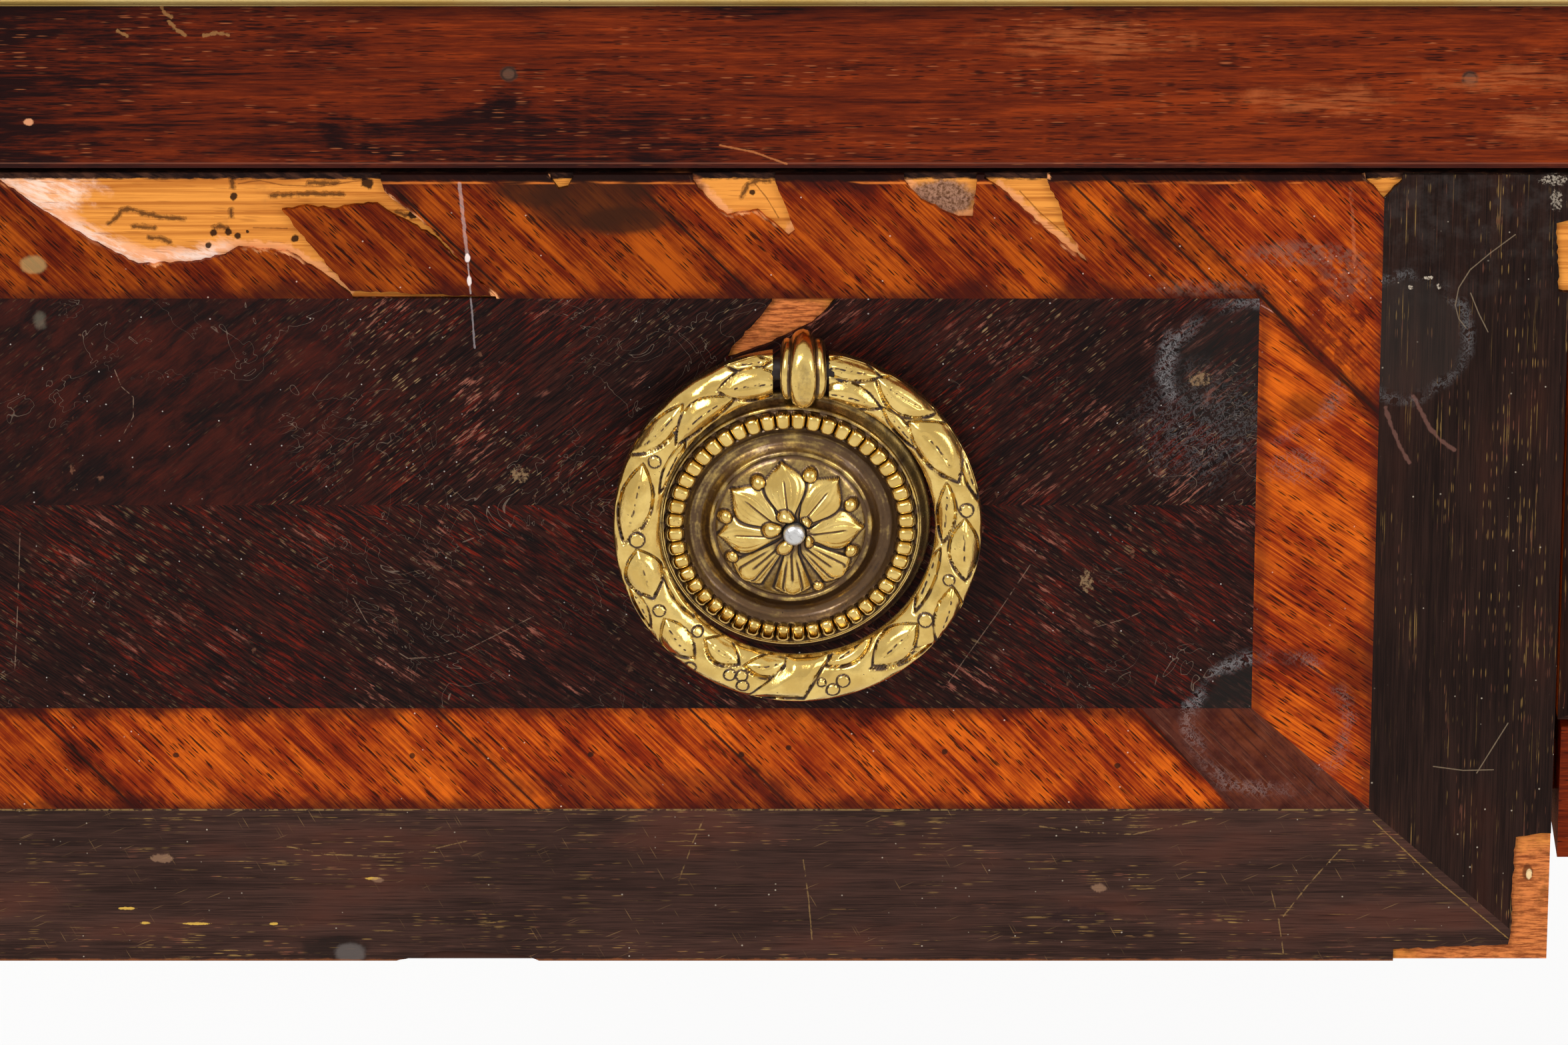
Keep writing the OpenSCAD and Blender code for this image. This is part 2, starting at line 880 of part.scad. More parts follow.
// Ring pulls: drawn at the middle of the rosette, with +Z out of the front and +Y up

module at_pulls(d) {
    for (x = d[5]) on_front(x, d[2], d[6]) children();
}

module at_both(d) {
    at_pulls(d) children();
    right_hand() at_pulls(d) children();
}

module on_front(x, y, z) {
    translate([x, y, z]) rotate([90, 0, 0]) children();
}

module rosette() {
    edge = plate_r - 1.6;
    inner = bead_circle_r - bead_r - 0.4;
    cove = (inner + boss_r) / 2;
    difference() {
        union() {
            rotate_extrude() polygon([
                [0, 0], [plate_r, 0], [plate_r, plate_edge_h], [edge, ledge_h - 0.2], [edge - 0.6, ledge_h],
                [inner, ledge_h], [inner - 0.8, ledge_h - 0.8], [cove, ledge_h - 1.6],
                [boss_r + 0.8, ledge_h - 0.8], [boss_r + 0.4, ledge_h + 0.3], [boss_r, ledge_h + 0.3],
                [boss_r - 1, boss_h - 2], [boss_r - 2.2, boss_h - 0.9], [boss_r - 5, boss_h - 0.3], [0, boss_h]
            ]);
            for (i = [0:bead_n - 1]) rotate(i * 360 / bead_n) {
                translate([bead_circle_r, 0, ledge_h - 0.3]) cylinder(r = bead_r, h = bead_h + 0.3, $fn = 24);
            }
            for (i = [0:7]) rotate(90 + i * 45) {
                translate([0, 0, boss_h - 2.6]) linear_extrude(3.1) petal();
                rotate(22.5) translate([boss_r - 2.3, 0, boss_h - 0.9]) sphere(berry_r, $fn = 24);
            }
            for (i = [0:4]) rotate(90 + i * 72) {
                translate([bolt_r + knob_r, 0, boss_h]) sphere(knob_r, $fn = 24);
            }
        }
        translate([0, 0, -past]) cylinder(r = bolt_r + joint_gap, h = 2 * boss_h);
    }
}

// A pointed leaf that lies along +X, where two arcs cross
module petal() {
    root = bolt_r + knob_r;
    tip = boss_r - 0.9;
    half = (tip - root) / 2;
    width = 4.4;
    r = (half * half + width * width / 4) / width;
    intersection() {
        translate([root + half, r - width / 2]) circle(r);
        translate([root + half, width / 2 - r]) circle(r);
    }
}

// A ribbed eye round the pivot pin, on a stem with a tang that goes through the front
module knuckle() {
    rib = knuckle_w * 0.5;
    translate([pivot_side, pivot_up, 0]) difference() {
        union() {
            eye(knuckle_r, rib);
            eye(knuckle_r - 1.8, knuckle_w - 0.6);
            for (s = [-1, 1]) {
                translate([s * (knuckle_w + rib + 0.6) / 4, 0, 0]) {
                    eye(knuckle_r - 1.1, (knuckle_w - rib - 0.6) / 2);
                }
            }
            translate([-knuckle_w / 2 + 0.6, -stem_w / 2, 0]) cube([knuckle_w - 1.2, stem_w, pivot_out]);
            translate([0, 0, -front_t - nut_t - 4]) cylinder(r = tang_r, h = front_t + nut_t + 5);
        }
        translate([0, 0, pivot_out]) rotate([0, 90, 0]) {
            cylinder(r = pin_r + pin_gap, h = 2 * knuckle_w, center = true);
        }
    }
}

module eye(r, w) {
    intersection() {
        translate([0, 0, pivot_out]) rotate([0, 90, 0]) cylinder(r = r, h = w, center = true);
        translate([-w, -2 * r, 0]) cube([2 * w, 4 * r, 4 * r]);
    }
}

module ring_section() {
    half = ring_w / 2;
    waist = 0.6;
    bulge = ring_front - waist;
    r = (half * half + bulge * bulge) / (2 * bulge);
    translate([ring_mean, 0]) {
        translate([-half, -ring_back]) square([ring_w, ring_back + waist]);
        intersection() {
            translate([0, ring_front - r]) circle(r, $fn = 96);
            translate([-half, 0]) square([ring_w, ring_front + past]);
        }
    }
}

// The hanging ring: its head is cut away for the knuckle and bridged by the pivot pin
module ring() {
    mouth = knuckle_w + 2 * mouth_gap;
    translate([pivot_side, pivot_up, pivot_out]) rotate([-ring_lean, 0, 0]) {
        difference() {
            rotate([0, 0, -ring_slip]) translate([0, -ring_mean, 0]) rotate_extrude() ring_section();
            translate([-mouth / 2, -ring_w, -ring_w]) cube([mouth, 2 * ring_w, 2 * ring_w]);
        }
        rotate([0, 90, 0]) cylinder(r = pin_r, h = mouth + 4, center = true);
    }
}

module nut(r) {
    translate([0, 0, -front_t - nut_t]) difference() {
        cylinder(r = nut_r, h = nut_t, $fn = 6);
        translate([0, 0, -past]) cylinder(r = r + joint_gap, h = nut_t + 2 * past);
    }
}

module pull_bolt() {
    translate([0, 0, -front_t - nut_t - 3]) {
        cylinder(r = bolt_r, h = front_t + nut_t + 3 + boss_h + bolt_proud);
    }
    nut(bolt_r + joint_gap);
    translate([pivot_side, pivot_up, 0]) nut(tang_r + joint_gap);
}

module left_rosettes() {
    color("goldenrod") at_pulls(side_drawer) rosette();
}

module left_knuckles() {
    color("goldenrod") at_pulls(side_drawer) knuckle();
}

module left_pull_bolts() {
    color("silver") at_pulls(side_drawer) pull_bolt();
}

module left_ring_outer() {
    color("goldenrod") on_front(side_pull_x[0], y_face, side_pull_z) ring();
}

module left_ring_inner() {
    color("goldenrod") on_front(side_pull_x[1], y_face, side_pull_z) ring();
}

module right_rosettes() {
    right_hand() left_rosettes();
}

module right_knuckles() {
    right_hand() left_knuckles();
}

module right_pull_bolts() {
    right_hand() left_pull_bolts();
}

module right_ring_outer() {
    right_hand() left_ring_outer();
}

module right_ring_inner() {
    right_hand() left_ring_inner();
}

module centre_rosettes() {
    color("goldenrod") at_both(centre_drawer) rosette();
}

module centre_knuckles() {
    color("goldenrod") at_both(centre_drawer) knuckle();
}

module centre_pull_bolts() {
    color("silver") at_both(centre_drawer) pull_bolt();
}

module centre_ring_left() {
    color("goldenrod") on_front(centre_pull_x, y_centre, centre_pull_z) ring();
}

module centre_ring_right() {
    right_hand() centre_ring_left();
}

// Lock of the centre drawer. The key stands in it with its bit down and the bolt drawn in. Half a
// turn of the key lifts the bolt into the underside of the top.

module lock_case_block(grow) {
    box([-lock_w / 2 - grow, lock_y - grow, z_front_top - lock_h - grow],
        [lock_w / 2 + grow, y_centre + front_t + grow * 2, z_front_top + grow * 2]);
}

// The round and the slot that let the key in, drawn in X and Z
module key_way(y, t) {
    upright(y, t) {
        translate([0, key_z]) circle(key_r + 0.5);
        translate([-bit_t / 2 - 0.4, key_z - bit_r - 0.5]) square([bit_t + 0.8, bit_r + 0.5]);
    }
}

module lock_case() {
    y1 = y_centre + front_t;
    t = lock_t;
    color("goldenrod") difference() {
        box([-lock_w / 2, lock_y, z_front_top - lock_h], [lock_w / 2, y1, z_front_top]);
        box([-lock_w / 2 + t, lock_y + t, z_front_top - lock_h + t], [lock_w / 2 - t, y1 - t, z_front_top - t]);
        lock_bolt_head(z_front_top - 2 * t, 0.25);
        key_way(lock_y - past, t + 2 * past);
    }
}

module lock_bolt_head(low, grow) {
    y = lock_y + lock_d / 2;
    box([-lock_bolt_w / 2 - grow, y - lock_bolt_t / 2 - grow, low],
        [lock_bolt_w / 2 + grow, y + lock_bolt_t / 2 + grow, z_front_top - bolt_sink + grow * 8]);
}

// The bolt hangs round the key in a window, whose upper edge the key's bit lifts
module lock_bolt() {
    y = lock_y + lock_d / 2;
    half = bit_r + 0.6;
    low = key_z + bolt_window[0];
    high = key_z + bolt_window[1];
    color("silver") {
        lock_bolt_head(high, 0);
        difference() {
            box([-half - bolt_cheek, y - lock_bolt_t / 2, low - bolt_cheek],
                [half + bolt_cheek, y + lock_bolt_t / 2, high + bolt_cheek]);
            box([-half, y - lock_bolt_t, low], [half, y + lock_bolt_t, high]);
        }
    }
}

module keyhole_plate() {
    drop = bit_r + 8;
    color("goldenrod") difference() {
        upright(y_centre - keyhole_t, keyhole_t) {
            translate([0, key_z]) circle(keyhole_r);
            polygon([[-keyhole_r, key_z], [keyhole_r, key_z], [4, key_z - drop], [-4, key_z - drop]]);
            translate([0, key_z - drop]) circle(4);
        }
        key_way(y_centre - keyhole_t - past, keyhole_t + 2 * past);
    }
}

// Drawn at the keyhole, with +Z out of the front and +Y up
module key() {
    bow_out = centre_recess + ring_reach - bow_r;
    inside = front_t - lock_t - 1;
    bit_l = lock_d - 2 * lock_t - 2;
    color("silver") on_front(0, y_centre, key_z) {
        translate([0, 0, -inside]) cylinder(r = key_r, h = inside + bow_out - bow_r + 3);
        translate([-bit_t / 2, -bit_r, -inside]) cube([bit_t, bit_r, bit_l]);
        translate([0, 0, bow_out]) rotate([0, 90, 0]) difference() {
            cylinder(r = bow_r, h = 3.2, center = true);
            cylinder(r = bow_r - 3, h = 4, center = true);
        }
        translate([0, 0, keyhole_t + 2]) cylinder(r = key_r + 1.4, h = 2.4);
    }
}

top_core();
leather_panel();
top_border_veneer();
edge_band();
brass_rim();
leg_front_left();
leg_front_right();
leg_back_left();
leg_back_right();
leg_collars();
brass_shoes();
end_panel_left();
end_panel_right();
back_panel();
front_top_rail();
kneehole_rail();
side_bottom_rails();
inner_side_left();
inner_side_right();
runners();
kickers();
top_screws();
left_drawer_front();
left_drawer_banding();
left_drawer_veneer();
left_drawer_sides();
left_drawer_back();
left_drawer_bottom();
left_rosettes();
left_knuckles();
left_pull_bolts();
left_ring_outer();
left_ring_inner();
centre_drawer_front();
centre_drawer_banding();
centre_drawer_veneer();
centre_drawer_sides();
centre_drawer_back();
centre_drawer_bottom();
centre_rosettes();
centre_knuckles();
centre_pull_bolts();
centre_ring_left();
centre_ring_right();
lock_case();
lock_bolt();
keyhole_plate();
key();
right_drawer_front();
right_drawer_banding();
right_drawer_veneer();
right_drawer_sides();
right_drawer_back();
right_drawer_bottom();
right_rosettes();
right_knuckles();
right_pull_bolts();
right_ring_inner();
right_ring_outer();
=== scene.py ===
# The looks of a flat-topped writing desk: worn veneers, chips down to the pine, and brass ring pulls
import math
import random

import bmesh
import bpy
import numpy as np
from mathutils import Euler, Matrix, Vector


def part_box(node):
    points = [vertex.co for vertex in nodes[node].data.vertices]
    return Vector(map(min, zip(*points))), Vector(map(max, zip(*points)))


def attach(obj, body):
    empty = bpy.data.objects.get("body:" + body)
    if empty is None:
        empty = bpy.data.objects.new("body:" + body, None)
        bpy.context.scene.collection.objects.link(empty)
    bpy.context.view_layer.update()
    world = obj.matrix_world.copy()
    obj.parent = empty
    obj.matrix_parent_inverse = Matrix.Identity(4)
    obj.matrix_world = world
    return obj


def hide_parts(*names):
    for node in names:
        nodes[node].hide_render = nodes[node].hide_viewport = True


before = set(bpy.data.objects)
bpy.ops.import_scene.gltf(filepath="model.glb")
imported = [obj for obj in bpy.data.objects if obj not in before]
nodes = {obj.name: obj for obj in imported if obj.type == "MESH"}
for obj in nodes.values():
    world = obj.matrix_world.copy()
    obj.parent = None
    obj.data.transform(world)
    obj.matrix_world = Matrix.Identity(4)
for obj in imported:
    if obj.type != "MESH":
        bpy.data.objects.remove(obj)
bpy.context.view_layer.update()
mm = 0.001


def show(name, data):
    thing = bpy.data.objects.new(name, data)
    bpy.context.collection.objects.link(thing)
    return thing


def toMesh(name, shape):
    # closes a bmesh into a mesh
    mesh = bpy.data.meshes.new(name)
    shape.to_mesh(mesh)
    shape.free()
    return mesh


# The camera stands where the photograph was taken from
photo = {
    "width": 2352,
    "height": 1568,
    "lens": 238.1,
    "sensor": 36,
    "pitch": 24,
    "eye": Vector((-0.40764, -2.07195, 1.40895)),
}
photoTurn = Euler((math.radians(90 - photo["pitch"]), 0, 0)).to_matrix()


def makeCamera():
    lens = bpy.data.cameras.new("camera")
    lens.lens = photo["lens"]
    lens.sensor_width = photo["sensor"]
    lens.clip_start = 0.1
    lens.clip_end = 100
    camera = show("camera", lens)
    camera.location = photo["eye"]
    camera.rotation_euler = (math.radians(90 - photo["pitch"]), 0, 0)
    bpy.context.scene.camera = camera


def onFace(px, py, y):
    # where the line of sight through a pixel of the photograph meets the upright plane at y
    focal = photo["lens"] / photo["sensor"] * photo["width"]
    ray = Vector(((px - photo["width"] / 2) / focal, (photo["height"] / 2 - py) / focal, -1))
    ray.rotate(photoTurn)
    reach = (y - photo["eye"].y) / ray.y
    return (photo["eye"].x + reach * ray.x, photo["eye"].z + reach * ray.z)


makeCamera()
print("camera in place")


# Light: two wide soft lamps and an even sky
studio = {
    "skyStrength": 0.62,
    "floorSize": 60,
    "floorColor": (0.94, 0.94, 0.93, 1),
    "floorGlow": 0.85,
}
lampList = [
    {"name": "keyLamp", "place": (-1.9, -3.3, 3.4), "aim": (-0.3, -0.2, 0.6), "size": 1.7, "power": 95},
    {"name": "fillLamp", "place": (2.6, -3.0, 2.0), "aim": (0.1, -0.1, 0.5), "size": 1.9, "power": 50},
    {"name": "backLamp", "place": (0.6, 3.6, 3.0), "aim": (0, 0, 0.5), "size": 3.0, "power": 70},
]


def makeLamps():
    for lamp in lampList:
        light = bpy.data.lights.new(lamp["name"], "AREA")
        light.shape = "SQUARE"
        light.size = lamp["size"]
        light.energy = lamp["power"]
        holder = show(lamp["name"], light)
        holder.location = lamp["place"]
        toward = Vector(lamp["aim"]) - Vector(lamp["place"])
        holder.rotation_euler = toward.to_track_quat("-Z", "Y").to_euler()


def shownWhite(tree):
    # 1 where the camera, a mirror or glass looks straight at the background
    path = tree.nodes.new("ShaderNodeLightPath")
    total = path.outputs["Is Camera Ray"]
    for name in ("Is Glossy Ray", "Is Transmission Ray"):
        either = tree.nodes.new("ShaderNodeMath")
        either.operation = "MAXIMUM"
        tree.links.new(total, either.inputs[0])
        tree.links.new(path.outputs[name], either.inputs[1])
        total = either.outputs[0]
    return total


def mixShaders(tree, share, first, second, output):
    mix = tree.nodes.new("ShaderNodeMixShader")
    for socket, source in zip(mix.inputs, (share, first.outputs[0], second.outputs[0])):
        tree.links.new(source, socket)
    tree.links.new(mix.outputs[0], tree.nodes[output].inputs["Surface"])


def makeSky():
    world = bpy.data.worlds.new("sky")
    world.use_nodes = True
    bpy.context.scene.world = world
    tree = world.node_tree
    soft = tree.nodes["Background"]
    soft.inputs["Color"].default_value = (1, 1, 1, 1)
    soft.inputs["Strength"].default_value = studio["skyStrength"]
    white = tree.nodes.new("ShaderNodeBackground")
    white.inputs["Strength"].default_value = 1
    mixShaders(tree, shownWhite(tree), soft, white, "World Output")


def makeFloor():
    shape = bmesh.new()
    bmesh.ops.create_grid(shape, x_segments=4, y_segments=4, size=studio["floorSize"] / 2)
    floor = show("floor", toMesh("floor", shape))
    material = bpy.data.materials.new("paleFloor")
    material.use_nodes = True
    tree = material.node_tree
    base = tree.nodes["Principled BSDF"]
    base.inputs["Base Color"].default_value = studio["floorColor"]
    base.inputs["Roughness"].default_value = 0.9
    base.inputs["Specular IOR Level"].default_value = 0.0
    glow = tree.nodes.new("ShaderNodeEmission")
    share = tree.nodes.new("ShaderNodeMath")
    share.operation = "MULTIPLY"
    share.inputs[1].default_value = studio["floorGlow"]
    tree.links.new(shownWhite(tree), share.inputs[0])
    mixShaders(tree, share.outputs[0], base, glow, "Material Output")
    floor.data.materials.append(material)


makeLamps()
makeSky()
makeFloor()
bpy.context.scene.view_settings.view_transform = "Standard"
print("light and floor in place")


# Finishes. A Wire is one socket of a shader, and sums written on it add Math nodes
socketNames = {
    "color": "Base Color",
    "roughness": "Roughness",
    "metallic": "Metallic",
    "specular": "Specular IOR Level",
    "coat": "Coat Weight",
    "coatRoughness": "Coat Roughness",
    "normal": "Normal",
}
flat = (0, 0, 0)


class Wire:
    def __init__(self, board, socket):
        self.board = board
        self.socket = socket

    def sum(self, operation, first, second):
        return self.board.add("ShaderNodeMath", {"operation": operation}, {0: first, 1: second})

    def __add__(self, other):
        return self.sum("ADD", self, other)

    def __radd__(self, other):
        return self.sum("ADD", other, self)

    def __sub__(self, other):
        return self.sum("SUBTRACT", self, other)

    def __rsub__(self, other):
        return self.sum("SUBTRACT", other, self)

    def __mul__(self, other):
        return self.sum("MULTIPLY", self, other)

    def __rmul__(self, other):
        return self.sum("MULTIPLY", other, self)

    def __truediv__(self, other):
        return self.sum("DIVIDE", self, other)

    def least(self, other):
        return self.sum("MINIMUM", self, other)

    def most(self, other):
        return self.sum("MAXIMUM", self, other)

    def over(self, other):
        return self.sum("GREATER_THAN", self, other)

    def size(self):
        return self.sum("ABSOLUTE", self, 0)

    # 1 within thin millimetres of a place, 0 past wide
    def near(self, place, wide, thin):
        return (self - place).size().step(wide * mm, thin * mm)

    # 0 below low, 1 above high and smooth between; low may be the greater one
    def step(self, low, high):
        turned = high < low
        ends = {"Value": self, "From Min": min(low, high), "From Max": max(low, high)}
        rise = self.board.add("ShaderNodeMapRange", {"interpolation_type": "SMOOTHSTEP"}, ends)
        return 1 - rise if turned else rise


class Finish:
    # face is the y of the upright plane that marks read from the photograph lie on
    def __init__(self, name, face=None):
        self.face = faceY if face is None else face
        self.material = bpy.data.materials.new(name)
        self.material.use_nodes = True
        self.tree = self.material.node_tree
        self.shader = self.tree.nodes["Principled BSDF"]
        self.place = self.add("ShaderNodeTexCoord", output="Object")

    def add(self, kind, settings=None, inputs=None, output=0):
        node = self.tree.nodes.new(kind)
        for key, value in (settings or {}).items():
            setattr(node, key, value)
        for key, value in (inputs or {}).items():
            self.feed(node.inputs[key], value)
        return Wire(self, node.outputs[output])

    def feed(self, socket, value):
        if isinstance(value, Wire):
            self.tree.links.new(value.socket, socket)
        else:
            socket.default_value = value

    def set(self, **values):
        for key, value in values.items():
            self.feed(self.shader.inputs[socketNames[key]], value)

    # closes the finish with its colour and a relief whose height is in millimetres
    def done(self, height, depth, strength, **values):
        normal = self.add("ShaderNodeBump", None,
                          {"Height": height, "Distance": depth * mm, "Strength": strength})
        self.set(color=self.color, normal=normal, **values)
        return self.material

    def axis(self, index):
        return self.add("ShaderNodeSeparateXYZ", None, {0: self.place}, index)

    # distance in metres from the nearer side of a box, along one axis
    def fromSide(self, box, index):
        low, high = box
        return (high[index] - low[index]) / 2 - (self.axis(index) - (low[index] + high[index]) / 2).size()

    # object coordinates turned so that the grain runs along X, measured in lengths of long and wide
    def grain(self, turn, long, wide, shift=0.0):
        return self.add("ShaderNodeMapping", {"vector_type": "TEXTURE"}, {
            "Vector": self.place,
            "Location": (shift, shift, shift),
            "Rotation": [math.radians(angle) for angle in turn],
            "Scale": (long * mm, wide * mm, wide * mm),
        })

    def even(self, size, shift=0.0):
        return self.grain(flat, size, size, shift)

    def noise(self, vector, detail=2, roughness=0.5, distortion=0.0, scale=1.0):
        return self.add("ShaderNodeTexNoise", {"noise_dimensions": "3D"}, {
            "Vector": vector, "Scale": scale, "Detail": detail, "Roughness": roughness,
            "Distortion": distortion,
        })

    def cloud(self, size, detail=2, roughness=0.5, shift=0.0):
        return self.noise(self.even(size, shift), detail, roughness)

    def paint(self, share, under, over):
        return self.add("ShaderNodeMix", {"data_type": "RGBA"}, {0: share, 6: under, 7: over}, 2)

    # lays a share of a colour over what the finish has so far
    def lay(self, share, color):
        self.color = self.paint(share, self.color, color)

    def vector(self, operation, first, second, output=0):
        return self.add("ShaderNodeVectorMath", {"operation": operation}, {0: first, 1: second}, output)

    # a colour or a vector times an amount
    def scaled(self, vector, amount):
        return self.add("ShaderNodeVectorMath", {"operation": "SCALE"}, {0: vector, "Scale": amount})

    # distance in metres from the line between two points of the face
    def fromLine(self, first, second):
        a = Vector((first[0], 0, first[1]))
        run = Vector((second[0], 0, second[1])) - a
        away = self.vector("SUBTRACT", self.vector("MULTIPLY", self.place, (1, 0, 1)), a)
        part = self.vector("DOT_PRODUCT", away, run / max(run.length_squared, 1e-12), 1).most(0).least(1)
        return self.vector("DISTANCE", away, self.scaled(run, part), 1)

    # distance in metres from named strokes, each a list of pixels of the photograph
    def fromStrokes(self, name):
        nearest = None
        for stroke in photoMarks[name]:
            points = [onFace(px, py, self.face) for px, py in stroke]
            for first, second in zip(points, points[1:]):
                far = self.fromLine(first, second)
                nearest = far if nearest is None else nearest.least(far)
        return nearest

    # lays a colour along named strokes, with a ragged outline, where the mask lets it
    def draw(self, name, width, share, color, ragged=0.35, grainSize=1.2, mask=1):
        wobble = (self.cloud(grainSize, 3, 0.6) - 0.5) * (2 * ragged * width * mm)
        line = (self.fromStrokes(name) + wobble).step(width * mm, width * 0.4 * mm) * mask
        self.lay(line * share, color)
        return line

    # distance from a pixel of the photograph, in lengths of wide and high
    def farFrom(self, px, py, wide, high):
        x, z = onFace(px, py, self.face)
        away = self.vector("SUBTRACT", self.place, (x, self.face, z))
        return self.vector("DISTANCE", self.vector("MULTIPLY", away, (1 / (wide * mm), 0, 1 / (high * mm))),
                           (0, 0, 0), 1)

    # 1 in the middle of a ragged spot round a pixel of the photograph, 0 outside it
    def spot(self, px, py, wide, high, ragged=0.5, grainSize=3.0, soft=0.4):
        noise = self.cloud(grainSize, 4, 0.6)
        far = self.farFrom(px, py, wide, high)
        return (far + (noise - 0.5) * (2 * ragged)).step(1 + soft * 0.25, 1 - soft * 0.75)

    # lays a colour on named spots where the mask lets it
    def spots(self, name, share, color, ragged=0.5, grainSize=3.0, soft=0.4, mask=1):
        for place in photoMarks[name]:
            self.lay(self.spot(*place, ragged, grainSize, soft) * mask * share, color)

    # short separate dashes along the grain, on the given share of the cells
    def dashes(self, turn, long, wide, share, shift=0.0, fill=0.42):
        cells = {"Vector": self.grain(turn, long, wide, shift), "Scale": 1.0}
        distance = self.add("ShaderNodeTexVoronoi", {"feature": "F1"}, cells)
        cellColor = Wire(self, distance.socket.node.outputs[1])
        lot = self.add("ShaderNodeSeparateXYZ", None, {0: cellColor})
        return distance.step(fill, fill * 0.5) * lot.step(share + 0.02, share - 0.02)

    # thin curled lines, as lint and dried haze leave
    def curls(self, size, thin=0.03, shift=0.0):
        swirl = self.noise(self.even(size, shift), 3, 0.65, 1.2)
        return (swirl - 0.5).size().step(thin, thin * 0.2)


def rgb(red, green, blue):
    # an sRGB colour from 0 to 255 as linear values
    linear = []
    for value in (red, green, blue):
        share = value / 255
        linear.append(share / 12.92 if share <= 0.04045 else ((share + 0.055) / 1.055) ** 2.4)
    return (*linear, 1)


frontLow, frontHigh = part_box("left_drawer_veneer")
faceY = frontLow.y
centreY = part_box("centre_drawer_veneer")[0][1]
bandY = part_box("edge_band")[0][1]
woodShine = 0.05

kingwood = {
    "black": rgb(17, 10, 10),
    "brown": rgb(54, 25, 19),
    "red": rgb(122, 28, 11),
    "fleck": rgb(158, 126, 88),
    "rust": rgb(142, 84, 68),
    "haze": rgb(128, 124, 124),
    "wear": rgb(126, 84, 62),
}


def darkLeaf(name, turn, seed=0.0, marks=None, redness=0.6, flecks=0.8, zones=None):
    board = Finish(name)
    wide = board.noise(board.grain(turn, 24, 1.4, seed), 6, 0.68, 0.5)
    fine = board.noise(board.grain(turn, 4.5, 0.24, seed), 3, 0.65)
    patches = board.cloud(19, 3, 0.55, seed + 3)
    shade = wide + (fine - 0.5) * 1.1
    board.color = board.paint(shade.step(0.30, 0.84), kingwood["black"], kingwood["brown"])
    streaks = board.noise(board.grain(turn, 5.5, 0.42, seed + 7), 5, 0.68, 0.4)
    red = streaks.step(0.50, 0.66) * patches.step(0.36, 0.62)
    board.lay(red * redness, kingwood["red"])
    dark = board.noise(board.grain(turn, 6, 0.3, seed + 5), 2, 0.6).step(0.54, 0.66)
    board.lay(dark * 0.7, rgb(12, 7, 7))
    calm = 0
    if zones:
        calm = zones(board)
        swirl = board.noise(board.grain(turn, 11, 4.5, seed + 8), 6, 0.66, 0.8)
        plain = board.paint(swirl.step(0.36, 0.70), rgb(20, 13, 13), rgb(64, 24, 17))
        board.lay(calm * 0.7, plain)
    crowd = board.cloud(24, 3, 0.6, seed + 9)
    small = board.dashes(turn, 2.3, 0.34, 0.36, seed + 1, 0.4)
    large = board.dashes(turn, 3.6, 0.5, 0.14, seed + 2)
    fleck = (small * crowd.step(0.36, 0.60)).most(large * crowd.step(0.50, 0.66))
    fleck = fleck * (1 - calm * 0.85)
    pale = board.cloud(1.6, 2, 0.5, seed).step(0.4, 0.62)
    board.lay(fleck * flecks * 0.8, board.paint(pale, rgb(92, 70, 56), kingwood["fleck"]))
    torn = board.noise(board.grain(turn, 4.6, 0.62, seed + 4), 4, 0.66)
    rust = board.cloud(13, 3, 0.6, seed + 12).step(0.52, 0.66) * torn.step(0.55, 0.66) * (1 - calm)
    board.lay(rust * 0.8, kingwood["rust"])
    speck = board.dashes(flat, 1.1, 1.1, 0.05, seed + 6, 0.16)
    board.lay(speck * 0.7, rgb(190, 180, 172))
    relief = fine * 0.5 + fleck * 0.4 - dark * 0.5
    rough = 0.44 + fleck * 0.2
    if marks:
        rough = marks(board, rough)
    return board.done(relief, 0.06, 0.55, roughness=rough, specular=woodShine)


tulipwood = {
    "orange": rgb(192, 88, 15),
    "red": rgb(112, 30, 6),
    "deep": rgb(48, 11, 5),
    "pore": rgb(24, 7, 4),
    "joint": rgb(34, 16, 10),
    "fresh": rgb(236, 160, 104),
}


